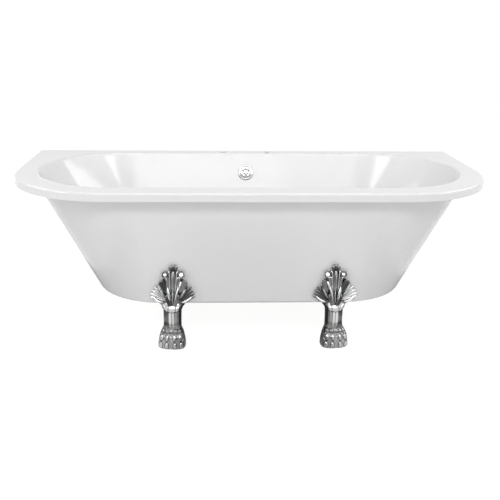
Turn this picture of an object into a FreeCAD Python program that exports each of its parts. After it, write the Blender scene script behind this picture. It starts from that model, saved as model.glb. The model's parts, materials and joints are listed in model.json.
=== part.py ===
import FreeCAD, Part
import math
import os
import Sketcher

# Back-to-wall bathtub on claw feet, in millimetres.
# X runs along the wall, Y from the front to the wall, Z up from the floor.
# The origin is on the floor under the middle of the bath.

DRIVING_SIZES = [
    ("bath_length", 1700, "overall length along the wall"),
    ("bath_width", 750, "overall width, front lip to wall"),
    ("bath_height", 565, "floor to the top of the rim"),
    ("lip_height", 29, "height of the downturned lip"),
    ("rim_corner_radius", 365, "front corners of the rim, seen from above"),
    ("rim_edge_radius", 7, "rounding of the rim's outer top edge"),
    ("shell_wall", 6, "thickness of the acrylic shell"),
    ("rim_end_width", 75, "rim at each end of the basin"),
    ("rim_front_width", 87, "rim in front of the basin"),
    ("rim_rear_width", 59, "rim behind the basin"),
    ("basin_edge_radius", 12, "rounding where the rim turns into the basin"),
    ("basin_end_run", 245, "end wall of the basin, sideways from rim to floor"),
    ("basin_side_run", 97, "front and rear wall of the basin, sideways from rim to floor"),
    ("floor_radius", 60, "rounding between basin wall and floor"),
    ("tap_hole_radius", 14, "tap holes in the rear rim"),
    ("tap_hole_spacing", 180, "between the two tap holes"),
    ("tap_hole_inset", 33, "tap holes, in from the wall"),
    ("skirt_wall", 5, "thickness of the skirt"),
    ("skirt_top_end_inset", 59, "skirt in from the end of the rim, at the top"),
    ("skirt_top_inset", 39, "skirt behind the front of the rim, at the top"),
    ("skirt_top_radius", 335, "front corners of the skirt, at the top"),
    ("skirt_bottom_end_inset", 297, "skirt in from the end of the rim, at the bottom"),
    ("skirt_bottom_inset", 90, "skirt behind the front of the rim, at the bottom"),
    ("skirt_bottom_radius", 248, "front corners of the skirt, at the bottom"),
    ("skirt_bottom_height", 153, "floor to the underside of the skirt"),
    ("skirt_edge_radius", 12, "rounding of the skirt's bottom edge"),
    ("skirt_flange", 70, "width of the skirt's inturned bottom flange"),
    ("wall_clearance", 1, "gap between the back of a piece and the rear lip"),
    ("board_thickness", 18, "base boards under the basin"),
    ("board_clearance", 8, "gap between base boards and skirt"),
    ("board_wall_gap", 113, "rear edge of the base boards, in from the wall"),
    ("board_gap", 120, "gap between the two base boards, for the waste"),
    ("batten_thickness", 18, "timber strips under the rear rim"),
    ("batten_width", 44, "width of a strip"),
    ("batten_length", 320, "length of a strip"),
    ("batten_tap_gap", 40, "gap between a strip and the middle of its tap hole"),
    ("foot_end_inset", 274, "middle of a foot, in from the end of the skirt's bottom"),
    ("foot_width", 58, "width of a foot's shaft"),
    ("foot_depth", 44, "depth of a foot's shaft"),
    ("foot_splay", 6, "feet turned outwards, in degrees"),
    ("shaft_setback", 8, "middle of the shaft behind the skirt's bottom edge"),
    ("ankle_flare", 4, "widening of the shaft at its ends"),
    ("paw_width", 94, "width across the toes"),
    ("paw_length", 84, "length of the paw"),
    ("paw_height", 72, "floor to the top of the paw"),
    ("paw_setback", -8, "middle of the paw behind the skirt's bottom edge"),
    ("sole_height", 4, "floor to the underside of the paw"),
    ("toe_knuckle_radius", 12.5, "toe at its knuckle"),
    ("toe_tip_radius", 9.5, "toe at its tip"),
    ("crest_height", 157, "crest above the skirt's bottom edge"),
    ("crest_width", 154, "width over the side leaves"),
    ("crest_thickness", 8, "crest in front of the skirt"),
    ("crest_relief", 5, "blades, rib and curls in front of the crest"),
    ("crest_clearance", 0.5, "gap between crest and skirt"),
    ("crest_curl_radius", 12, "curls beside the top petal"),
    ("crest_eye_radius", 5, "eye of a curl"),
    ("shelf_thickness", 10, "mounting shelf on top of a foot"),
    ("shelf_width", 84, "width of the shelf"),
    ("shelf_length", 75, "reach of the shelf under the bath"),
    ("bolt_radius", 4, "foot bolts"),
    ("bolt_spacing", 50, "between the two bolts of a foot"),
    ("bolt_setback", 50, "bolts behind the skirt's bottom edge"),
    ("bolt_clearance", 0.5, "bolt hole larger than the bolt, on the radius"),
    ("bolt_spare_thread", 3, "bolt showing past its nut"),
    ("bolt_head_height", 5.3, "hexagon head"),
    ("hexagon_flats", 13, "across flats of bolt heads and nuts"),
    ("nut_height", 6.5, "nuts of the foot bolts"),
    ("washer_radius", 8, "washers of the foot bolts"),
    ("washer_thickness", 1.6, "washers of the foot bolts"),
    ("pad_radius", 20, "pad of a levelling screw"),
    ("pad_height", 6, "pad of a levelling screw"),
    ("screw_radius", 5, "levelling screw"),
    ("screw_length", 56, "levelling screw above its pad"),
    ("screw_collar_radius", 9, "spanner collar of the levelling screw"),
    ("screw_collar_height", 4, "spanner collar of the levelling screw"),
    ("screw_clearance", 0.3, "levelling screw in its hole, on the radius"),
    ("screw_hole_spare", 6, "hole above the end of the levelling screw"),
    ("lock_nut_height", 8, "lock nut of the levelling screw"),
    ("lock_nut_flats", 17, "across flats of that nut"),
    ("recess_radius", 24, "recess in the sole for pad and lock nut"),
    ("recess_height", 24, "floor to the top of that recess"),
    ("overflow_drop", 77, "overflow centre below the rim"),
    ("overflow_hole_radius", 23, "overflow hole in the shell"),
    ("rose_radius", 32, "overflow rose"),
    ("rose_height", 9, "overflow rose, standing off the wall"),
    ("rose_wall", 2, "thickness of the rose"),
    ("rose_hole_radius", 4, "holes in the rose"),
    ("rose_hole_circle", 15, "radius of the ring of holes"),
    ("rose_hole_count", 6, "holes in the ring"),
    ("rose_screw_radius", 2.5, "screw of the rose"),
    ("rose_screw_head_radius", 5, "head of that screw"),
    ("rose_screw_head_height", 2, "head of that screw"),
    ("rose_screw_face_radius", 3.5, "flat face of that head"),
    ("rose_screw_clearance", 0.3, "screw in its holes, on the radius"),
    ("gasket_thickness", 3, "overflow gasket"),
    ("elbow_flange", 4, "thickness of the elbow's flange"),
    ("elbow_radius", 24, "outside of the elbow's cup"),
    ("elbow_wall", 3, "wall of the elbow"),
    ("elbow_cup_depth", 36, "depth of the elbow's cup"),
    ("elbow_boss_radius", 6, "boss that takes the screw"),
    ("elbow_stub_length", 55, "elbow outlet, from the middle of its cup"),
    ("hose_radius", 15, "outside of the overflow hose and of its stubs"),
    ("hose_bore", 11, "bore of hose and stubs, radius"),
    ("hose_bend_radius", 70, "hose where it turns under the bath"),
    ("hose_ease_radius", 150, "hose where it leaves the elbow"),
    ("hose_lead", 40, "straight lead of the hose out of the elbow"),
    ("union_radius", 20, "union nuts of the hose"),
    ("union_length", 24, "union nuts of the hose"),
    ("union_clearance", 0.3, "union nut around hose and stub"),
    ("waste_inset", 109, "middle of the waste, in from the rear edge of the basin floor"),
    ("waste_hole_radius", 24.5, "waste hole in the basin floor"),
    ("flange_radius", 35, "waste flange in the basin"),
    ("flange_height", 3.5, "thickness of the waste flange"),
    ("flange_gasket_thickness", 2, "gasket under the waste flange"),
    ("sleeve_radius", 23.5, "sleeve of the waste flange"),
    ("sleeve_wall", 3.5, "wall of that sleeve"),
    ("sleeve_length", 24, "sleeve below the basin floor"),
    ("bridge_height", 6, "bridge across the sleeve"),
    ("bridge_width", 8, "bridge across the sleeve"),
    ("bridge_hub_radius", 9, "hub of the bridge"),
    ("waste_seal_thickness", 3, "seal under the basin floor"),
    ("waste_flange_radius", 36, "flange of the waste body"),
    ("waste_flange_thickness", 4, "flange of the waste body"),
    ("waste_wall", 5, "wall of the waste body"),
    ("sleeve_clearance", 0.5, "flange sleeve in the waste body"),
    ("waste_body_drop", 94, "basin floor to the bottom of the waste body"),
    ("waste_inlet_drop", 67, "basin floor to the hose inlet"),
    ("waste_inlet_length", 60, "hose inlet, from the middle of the waste"),
    ("tail_radius", 23.9, "outlet tail, outside its thread"),
    ("tail_bore", 20, "bore of the outlet tail, radius"),
    ("tail_length", 36, "outlet tail"),
    ("plug_radius", 31, "cap of the plug"),
    ("plug_edge_height", 2.5, "edge of the cap"),
    ("plug_crown", 3, "rise of the cap above its edge, in the middle"),
    ("plug_shoulder_rise", 2.2, "rise of the cap above its edge, halfway out"),
    ("plug_seal_thickness", 2.5, "seal under the cap"),
    ("plug_seal_radius", 28, "outside of that seal"),
    ("plug_seal_width", 6, "width of that seal"),
    ("stem_radius", 5, "stem of the plug"),
    ("stem_length", 46, "stem of the plug"),
    ("stem_clearance", 0.3, "stem in the bridge, on the radius"),
]

doc = FreeCAD.newDocument("back_to_wall_bath")
sheet = doc.addObject("Spreadsheet::Sheet", "Sizes")
for row, (name, value, meaning) in enumerate(DRIVING_SIZES, start=1):
    sheet.set(f"A{row}", meaning)
    sheet.set(f"B{row}", str(value))
    sheet.setAlias(f"B{row}", name)
doc.recompute()


class Size:
    """A number together with the formula over the sheet that gives it."""

    def __init__(self, number, formula):
        self.number = number
        self.formula = formula

    def joined(self, other, sign, number):
        return Size(number, f"({self.formula} {sign} {as_size(other).formula})")

    def __add__(self, other):
        return self.joined(other, "+", self.number + as_size(other).number)

    def __sub__(self, other):
        return self.joined(other, "-", self.number - as_size(other).number)

    def __mul__(self, other):
        return self.joined(other, "*", self.number * as_size(other).number)

    def __truediv__(self, other):
        return self.joined(other, "/", self.number / as_size(other).number)

    def __neg__(self):
        return Size(-self.number, f"(-1 * {self.formula})")


def as_size(value):
    return value if isinstance(value, Size) else Size(float(value), str(float(value)))


def size(name):
    return Size(float(sheet.get(name)), f"Sizes.{name}")


def slope(run, rise):
    """Angle from upright, in degrees, of a line that moves sideways by run over a height of rise."""
    number = math.degrees(math.atan2(run.number, rise.number))
    return Size(number, f"atan2({run.formula}; {rise.formula}) / 1 deg")


def cosine(angle):
    return Size(math.cos(math.radians(angle.number)), f"cos({angle.formula} * 1 deg)")


def sine(angle):
    return Size(math.sin(math.radians(angle.number)), f"sin({angle.formula} * 1 deg)")


ZERO = as_size(0)
CLOSE = 0.01
X_AXIS = FreeCAD.Vector(1, 0, 0)

# Sketches

def new_body(label):
    body = doc.addObject("PartDesign::Body", label)
    body.Label = label
    return body


def new_sketch(body, plane, height=ZERO):
    """A sketch on one of the body's own origin planes, raised along that plane's normal by height."""
    sketch = body.newObject("Sketcher::SketchObject", f"{body.Label}_sketch")
    support = [feature for feature in body.Origin.OriginFeatures if feature.Role == plane]
    sketch.AttachmentSupport = (support[0], [""])
    sketch.MapMode = "FlatFace"
    sketch.AttachmentOffset = FreeCAD.Placement(FreeCAD.Vector(0, 0, height.number), FreeCAD.Rotation())
    if height is not ZERO:
        sketch.setExpression("AttachmentOffset.Base.z", height.formula)
    return sketch


def flat_point(place):
    return FreeCAD.Vector(place[0].number, place[1].number, 0)


def hold(sketch, kind, geometry, end, value):
    index = sketch.addConstraint(Sketcher.Constraint(kind, -1, 1, geometry, end, value.number))
    sketch.setExpression(f"Constraints[{index}]", value.formula)


def pin(sketch, geometry, end, place):
    """Tie one point of a sketch element to its place, measured from the sketch's origin."""
    for kind, axis, value in (("DistanceX", -2, place[0]), ("DistanceY", -1, place[1])):
        if value is ZERO:
            sketch.addConstraint(Sketcher.Constraint("PointOnObject", geometry, end, axis))
        else:
            hold(sketch, kind, geometry, end, value)


def line(sketch, start, end):
    return sketch.addGeometry(Part.LineSegment(flat_point(start), flat_point(end)))


def arc(sketch, centre, radius, start_angle, end_angle):
    circle = Part.Circle(flat_point(centre), FreeCAD.Vector(0, 0, 1), radius.number)
    return sketch.addGeometry(
        Part.ArcOfCircle(circle, math.radians(start_angle), math.radians(end_angle)))


def meet(sketch, first, second):
    """The end of the first element is the start of the second."""
    sketch.addConstraint(Sketcher.Constraint("Coincident", first, 2, second, 1))


def draw_polygon(sketch, corners):
    following = corners[1:] + corners[:1]
    edges = [line(sketch, start, end) for start, end in zip(corners, following)]
    for edge, corner, next_edge in zip(edges, corners, edges[1:] + edges[:1]):
        pin(sketch, edge, 1, corner)
        meet(sketch, edge, next_edge)


def draw_circle(sketch, centre, radius):
    circle = sketch.addGeometry(
        Part.Circle(flat_point(centre), FreeCAD.Vector(0, 0, 1), radius.number))
    pin(sketch, circle, 3, centre)
    index = sketch.addConstraint(Sketcher.Constraint("Radius", circle, radius.number))
    sketch.setExpression(f"Constraints[{index}]", radius.formula)


def draw_rectangle(sketch, left, right, front, back):
    draw_polygon(sketch, [(left, front), (right, front), (right, back), (left, back)])


def draw_d(sketch, half_length, front, back, radius):
    """A D seen from above: straight back, sides and front, and two round front corners."""
    corner_y = front + radius
    corner_x = half_length - radius
    places = [(-half_length, back), (-half_length, corner_y), (-corner_x, front),
              (corner_x, front), (half_length, corner_y), (half_length, back)]
    left = line(sketch, places[0], places[1])
    left_corner = arc(sketch, (-corner_x, corner_y), radius, 180, 270)
    front_side = line(sketch, places[2], places[3])
    right_corner = arc(sketch, (corner_x, corner_y), radius, 270, 360)
    right = line(sketch, places[4], places[5])
    back_side = line(sketch, places[5], places[0])
    for number, edge in enumerate((left, front_side, right)):
        pin(sketch, edge, 1, places[2 * number])
        pin(sketch, edge, 2, places[2 * number + 1])
    hold(sketch, "DistanceX", left_corner, 3, -corner_x)
    hold(sketch, "DistanceX", right_corner, 3, corner_x)
    ring = (left, left_corner, front_side, right_corner, right, back_side)
    for first, second in zip(ring, ring[1:] + ring[:1]):
        meet(sketch, first, second)


def draw_stadium(sketch, length, width, middle):
    """Two straight sides joined by half circles, centred on X at the given Y."""
    radius = width / 2
    reach = length / 2 - radius
    places = [(-reach, middle - radius), (reach, middle - radius),
              (reach, middle + radius), (-reach, middle + radius)]
    front_side = line(sketch, places[0], places[1])
    right_end = arc(sketch, (reach, middle), radius, 270, 450)
    back_side = line(sketch, places[2], places[3])
    left_end = arc(sketch, (-reach, middle), radius, 90, 270)
    for number, edge in enumerate((front_side, back_side)):
        pin(sketch, edge, 1, places[2 * number])
        pin(sketch, edge, 2, places[2 * number + 1])
    hold(sketch, "DistanceX", right_end, 3, reach)
    hold(sketch, "DistanceX", left_end, 3, -reach)
    ring = (front_side, right_end, back_side, left_end)
    for first, second in zip(ring, ring[1:] + ring[:1]):
        meet(sketch, first, second)


def hexagon_corners(flats):
    """Corners of a hexagon with two corners on the X axis."""
    half = flats / 2
    corner = half / math.cos(math.radians(30))
    return [(corner, ZERO), (corner / 2, half), (-(corner / 2), half),
            (-corner, ZERO), (-(corner / 2), -half), (corner / 2, -half)]


# Features

def pad(body, sketch, length, downwards=False):
    feature = body.newObject("PartDesign::Pad", f"{body.Label}_pad")
    feature.Profile = sketch
    feature.Reversed = downwards
    feature.setExpression("Length", length.formula)
    return feature


def pocket(body, sketch, length, upwards=False):
    feature = body.newObject("PartDesign::Pocket", f"{body.Label}_pocket")
    feature.Profile = sketch
    feature.Reversed = upwards
    feature.setExpression("Length", length.formula)
    return feature


def loft(body, kind, sections):
    feature = body.newObject(kind, f"{body.Label}_loft")
    feature.Profile = sections[0]
    feature.Sections = sections[1:]
    feature.Ruled = True
    return feature


def turn(body, kind, corners):
    """A profile of radius and height pairs, turned about the body's own Z axis."""
    sketch = new_sketch(body, "XZ_Plane")
    draw_polygon(sketch, corners)
    feature = body.newObject(kind, f"{body.Label}_turned")
    feature.Profile = sketch
    feature.ReferenceAxis = (sketch, ["V_Axis"])
    feature.Angle = 360
    return feature


def turned(label, corners):
    body = new_body(label)
    turn(body, "PartDesign::Revolution", corners)
    return body


def ring_corners(inner, outer, bottom, top):
    return [(inner, bottom), (outer, bottom), (outer, top), (inner, top)]


def fillet(body, base, radius, wanted):
    """Round the edges of base for which wanted(edge) is true."""
    doc.recompute()
    names = [f"Edge{number}" for number, edge in enumerate(base.Shape.Edges, start=1) if wanted(edge)]
    feature = body.newObject("PartDesign::Fillet", f"{body.Label}_fillet")
    feature.Base = (base, names)
    feature.setExpression("Radius", radius.formula)
    return feature


def level_edge(height):
    """A test for edges that lie flat at a height, leaving out the straight one along the wall."""
    def wanted(edge):
        box = edge.BoundBox
        flat = abs(box.ZMin - height.number) < CLOSE and abs(box.ZMax - height.number) < CLOSE
        along_wall = box.YLength < CLOSE and box.YMin > basin_back.number
        return flat and not along_wall
    return wanted


def place(body, x, y, z, axis=None, angle=None):
    """Put a body at a place in the bath, turned by an angle about an axis, both tied to the sheet."""
    rotation = FreeCAD.Rotation()
    if axis is not None:
        rotation = FreeCAD.Rotation(axis, angle.number)
    body.Placement = FreeCAD.Placement(FreeCAD.Vector(x.number, y.number, z.number), rotation)
    for letter, value in zip("xyz", (x, y, z)):
        if value is not ZERO:
            body.setExpression(f"Placement.Base.{letter}", value.formula)
    if axis is not None:
        body.setExpression("Placement.Rotation.Angle", f"{angle.formula} * 1 deg")


def group(label, master, places):
    """Separate copies of one master piece, kept together as one node."""
    doc.recompute()
    copies = []
    for x, y, z in places:
        copy = master.Shape.copy()
        copy.Placement = FreeCAD.Placement(
            FreeCAD.Vector(x.number, y.number, z.number), FreeCAD.Rotation())
        copies.append(copy)
    feature = doc.addObject("Part::Feature", label)
    feature.Label = label
    feature.Shape = Part.makeCompound(copies)
    return feature


# Levels and lines that several pieces share

half_length = size("bath_length") / 2
wall_y = size("bath_width") / 2
front_y = -wall_y
rim_top = size("bath_height")
lip_bottom = rim_top - size("lip_height")
shell_wall = size("shell_wall")
deck_bottom = rim_top - shell_wall
back_y = wall_y - shell_wall - size("wall_clearance")

skirt_bottom = size("skirt_bottom_height")
skirt_wall = size("skirt_wall")
skirt_bottom_front = front_y + size("skirt_bottom_inset")
skirt_top_half = half_length - size("skirt_top_end_inset")
skirt_bottom_half = half_length - size("skirt_bottom_end_inset")
board_bottom = skirt_bottom + skirt_wall
board_top = board_bottom + size("board_thickness")
board_back = wall_y - size("board_wall_gap")

basin_floor = board_top + shell_wall
basin_depth = rim_top - basin_floor
basin_length = size("bath_length") - size("rim_end_width") * 2
basin_width = size("bath_width") - size("rim_front_width") - size("rim_rear_width")
basin_middle = (size("rim_front_width") - size("rim_rear_width")) / 2
basin_back = basin_middle + basin_width / 2
side_run = size("basin_side_run")
end_run = size("basin_end_run")
floor_length = basin_length - end_run * 2
floor_width = basin_width - side_run * 2
side_slope = slope(side_run, basin_depth)

foot_x = skirt_bottom_half - size("foot_end_inset")
bolt_x = size("bolt_spacing") / 2
bolt_y = skirt_bottom_front + size("bolt_setback")
bolt_hole = size("bolt_radius") + size("bolt_clearance")
front_bolts = [(foot_x * side + bolt_x * spread, bolt_y) for side in (-1, 1) for spread in (-1, 1)]
rear_bolts = [(x, -y) for x, y in front_bolts]
bolt_places = front_bolts + rear_bolts
waste_y = basin_middle + floor_width / 2 - size("waste_inset")
tap_y = wall_y - size("tap_hole_inset")
tap_x = size("tap_hole_spacing") / 2


# Shell: rim, lip and basin in one skin

def make_shell():
    body = new_body("bath_shell")
    outline = new_sketch(body, "XY_Plane", lip_bottom)
    draw_d(outline, half_length, front_y, wall_y, size("rim_corner_radius"))
    rim = pad(body, outline, size("lip_height"))
    fillet(body, rim, size("rim_edge_radius"), level_edge(rim_top))
    under = new_sketch(body, "XY_Plane", lip_bottom)
    draw_d(under, half_length - shell_wall, front_y + shell_wall, wall_y - shell_wall,
           size("rim_corner_radius") - shell_wall)
    pocket(body, under, size("lip_height") - shell_wall, upwards=True)

    top = new_sketch(body, "XY_Plane", rim_top)
    draw_stadium(top, basin_length + shell_wall * 2, basin_width + shell_wall * 2,
                 basin_middle)
    underside = new_sketch(body, "XY_Plane", board_top)
    length_change = shell_wall - shell_wall * end_run / basin_depth
    width_change = shell_wall - shell_wall * side_run / basin_depth
    draw_stadium(underside, floor_length + length_change * 2,
                 floor_width + width_change * 2, basin_middle)
    outside = loft(body, "PartDesign::AdditiveLoft", [top, underside])
    fillet(body, outside, size("floor_radius") + shell_wall, level_edge(board_top))

    space = new_body("basin_space")
    opening = new_sketch(space, "XY_Plane", rim_top)
    draw_stadium(opening, basin_length, basin_width, basin_middle)
    floor = new_sketch(space, "XY_Plane", basin_floor)
    draw_stadium(floor, floor_length, floor_width, basin_middle)
    inside = loft(space, "PartDesign::AdditiveLoft", [opening, floor])
    fillet(space, inside, size("floor_radius"), level_edge(basin_floor))
    doc.recompute()
    hollow = body.newObject("PartDesign::Boolean", "basin_hollow")
    hollow.Type = "Cut"
    hollow.setObjects([space])

    opening_reach = basin_length.number / 2 + CLOSE
    opening_front = (basin_middle - basin_width / 2).number - CLOSE

    def opening_edge(edge):
        box = edge.BoundBox
        within_length = box.XMin > -opening_reach and box.XMax < opening_reach
        within_width = box.YMin > opening_front and box.YMax < basin_back.number + CLOSE
        return within_length and within_width and abs(box.ZMin - rim_top.number) < CLOSE
    fillet(body, hollow, size("basin_edge_radius"), opening_edge)

    taps = new_sketch(body, "XY_Plane", rim_top)
    for x in (-tap_x, tap_x):
        draw_circle(taps, (x, tap_y), size("tap_hole_radius"))
    pocket(body, taps, shell_wall * 2)
    waste = new_sketch(body, "XY_Plane", basin_floor)
    draw_circle(waste, (ZERO, waste_y), size("waste_hole_radius"))
    pocket(body, waste, shell_wall * 2)
    overflow = new_sketch(body, "XZ_Plane", -basin_middle)
    draw_circle(overflow, (ZERO, rim_top - size("overflow_drop")), size("overflow_hole_radius"))
    pocket(body, overflow, basin_width / 2)
    return body


# Skirt: sloping outer skin with an inturned bottom flange, open at the wall

def make_skirt():
    body = new_body("outer_skirt")
    top_front = front_y + size("skirt_top_inset")
    top = new_sketch(body, "XY_Plane", deck_bottom)
    draw_d(top, skirt_top_half, top_front, back_y, size("skirt_top_radius"))
    bottom = new_sketch(body, "XY_Plane", skirt_bottom)
    draw_d(bottom, skirt_bottom_half, skirt_bottom_front, back_y, size("skirt_bottom_radius"))
    outside = loft(body, "PartDesign::AdditiveLoft", [top, bottom])
    fillet(body, outside, size("skirt_edge_radius"), level_edge(skirt_bottom))

    open_back = back_y + skirt_wall
    inner_top = new_sketch(body, "XY_Plane", deck_bottom)
    draw_d(inner_top, skirt_top_half - skirt_wall, top_front + skirt_wall, open_back,
           size("skirt_top_radius") - skirt_wall)
    inner_bottom = new_sketch(body, "XY_Plane", board_bottom)
    draw_d(inner_bottom, skirt_bottom_half - skirt_wall, skirt_bottom_front + skirt_wall, open_back,
           size("skirt_bottom_radius") - skirt_wall)
    loft(body, "PartDesign::SubtractiveLoft", [inner_top, inner_bottom])

    underneath = new_sketch(body, "XY_Plane", board_bottom)
    flange_end = skirt_bottom_half - size("skirt_flange")
    draw_rectangle(underneath, -flange_end, flange_end,
                   skirt_bottom_front + size("skirt_flange"), open_back)
    pocket(body, underneath, skirt_wall * 2)
    holes = new_sketch(body, "XY_Plane", board_bottom)
    for x, y in front_bolts:
        draw_circle(holes, (x, y), bolt_hole)
    pocket(body, holes, skirt_wall * 2)
    doc.recompute()
    return body, outside.Shape


# Timber: two base boards on the skirt's flange, and two strips beside the tap holes

SIDES = {"left": -1, "right": 1}


def draw_half_d(sketch, side, inner, half, front, back, radius):
    """The part of a D outside of a line at inner, on one side: four straight sides and a round front corner."""
    corner_x = half - radius
    corner_y = front + radius
    if side < 0:
        before = [(-half, back), (-half, corner_y)]
        after = [(-corner_x, front), (-inner, front), (-inner, back)]
        corner = arc(sketch, (-corner_x, corner_y), radius, 180, 270)
    else:
        before = [(inner, front), (corner_x, front)]
        after = [(half, corner_y), (half, back), (inner, back)]
        corner = arc(sketch, (corner_x, corner_y), radius, 270, 360)
    first = line(sketch, before[0], before[1])
    second = line(sketch, after[0], after[1])
    third = line(sketch, after[1], after[2])
    last = line(sketch, after[2], before[0])
    for edge, start, end in ((first, before[0], before[1]), (second, after[0], after[1])):
        pin(sketch, edge, 1, start)
        pin(sketch, edge, 2, end)
    pin(sketch, last, 1, after[2])
    hold(sketch, "DistanceX", corner, 3, corner_x * side)
    ring = (first, corner, second, third, last)
    for before_edge, after_edge in zip(ring, ring[1:] + ring[:1]):
        meet(sketch, before_edge, after_edge)


def make_base_boards():
    gap = skirt_wall + size("board_clearance")
    boards = []
    for name, side in SIDES.items():
        body = new_body(f"base_board_{name}")
        outline = new_sketch(body, "XY_Plane", board_bottom)
        draw_half_d(outline, side, size("board_gap") / 2, skirt_bottom_half - gap, skirt_bottom_front + gap,
                    board_back, size("skirt_bottom_radius") - gap)
        for x, y in bolt_places:
            if x.number * side > 0:
                draw_circle(outline, (x, y), bolt_hole)
        pad(body, outline, size("board_thickness"))
        boards.append(body)
    return boards


def make_rim_battens():
    battens = []
    for name, side in SIDES.items():
        body = new_body(f"rim_batten_{name}")
        outline = new_sketch(body, "XY_Plane", deck_bottom)
        near = (tap_x + size("batten_tap_gap")) * side
        far = near + size("batten_length") * side
        left, right = (far, near) if side < 0 else (near, far)
        draw_rectangle(outline, left, right, back_y - size("batten_width"), back_y)
        pad(body, outline, size("batten_thickness"), downwards=True)
        battens.append(body)
    return battens


# Feet: one casting with leaf crest, shaft, paw and mounting shelf

def flat_ellipse(half_width, half_depth, y, z):
    """An ellipse lying flat at a height, as a closed wire."""
    curve = Part.Ellipse(FreeCAD.Vector(0, 0, 0), max(half_width, half_depth), min(half_width, half_depth))
    edge = curve.toShape()
    if half_depth > half_width:
        edge.rotate(FreeCAD.Vector(), FreeCAD.Vector(0, 0, 1), 90)
    edge.translate(FreeCAD.Vector(0, y, z))
    return Part.Wire([edge])


def make_toe(knuckle, tip, knuckle_radius, tip_radius):
    """A round knuckle and a smaller round tip, joined by a cone that touches both."""
    axis = tip - knuckle
    lean = (knuckle_radius - tip_radius) / axis.Length
    square = math.sqrt(1 - lean * lean)
    direction = FreeCAD.Vector(axis).normalize()
    start = knuckle + direction * (knuckle_radius * lean)
    length = axis.Length + (tip_radius - knuckle_radius) * lean
    cone = Part.makeCone(knuckle_radius * square, tip_radius * square, length, start, direction)
    balls = [Part.makeSphere(knuckle_radius, knuckle), Part.makeSphere(tip_radius, tip)]
    return cone.multiFuse(balls)


# Right half of the crest, from its neck up, as shares of the half width and of the height
LEAF_OUTLINE = [(0.42, -0.1), (0.47, 0.04), (0.68, 0.1), (0.81, 0.19), (1.0, 0.29), (0.86, 0.34),
                (0.9, 0.4), (0.73, 0.49), (0.57, 0.46), (0.61, 0.57), (0.48, 0.64), (0.34, 0.68),
                (0.21, 0.8), (0.23, 0.93), (0.12, 1.0)]
LEAF_BLADE = [(0.08, 0.16), (0.27, 0.16), (0.61, 0.57), (0.48, 0.64), (0.3, 0.6)]
LEAF_RIB = [(-0.09, 0.04), (0.09, 0.04), (0.06, 0.94), (-0.06, 0.94)]
CURL_PLACE = (0.345, 0.75)


def make_crest():
    """Leaf crest against the skirt: a leaf-edged plate with raised blades, middle rib and curls."""
    base = skirt_bottom.number
    half = size("crest_width").number / 2
    height = size("crest_height").number
    plate_depth = size("crest_thickness").number
    raised = plate_depth + size("crest_relief").number
    backing = size("foot_depth").number / 2
    forward = FreeCAD.Vector(0, -1, 0)

    def slab(shares, depth):
        corners = [FreeCAD.Vector(x * half, backing, base + z * height) for x, z in shares]
        face = Part.Face(Part.makePolygon(corners + corners[:1]))
        return face.extrude(forward * (backing + depth))

    def mirrored(shares):
        return [(-x, z) for x, z in reversed(shares)]

    slabs = [slab(LEAF_BLADE, raised), slab(mirrored(LEAF_BLADE), raised), slab(LEAF_RIB, raised)]
    for side in (-1, 1):
        middle = FreeCAD.Vector(side * CURL_PLACE[0] * half, backing, base + CURL_PLACE[1] * height)
        curl = Part.makeCylinder(size("crest_curl_radius").number, backing + raised, middle, forward)
        eye = Part.makeCylinder(size("crest_eye_radius").number, backing + raised, middle, forward)
        slabs.append(curl.cut(eye))
    crest = slab(LEAF_OUTLINE + mirrored(LEAF_OUTLINE), plate_depth).multiFuse(slabs)
    lean = slope(size("skirt_bottom_inset") - size("skirt_top_inset"), deck_bottom - skirt_bottom)
    crest.rotate(FreeCAD.Vector(0, 0, base), X_AXIS, lean.number)
    return crest


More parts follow.
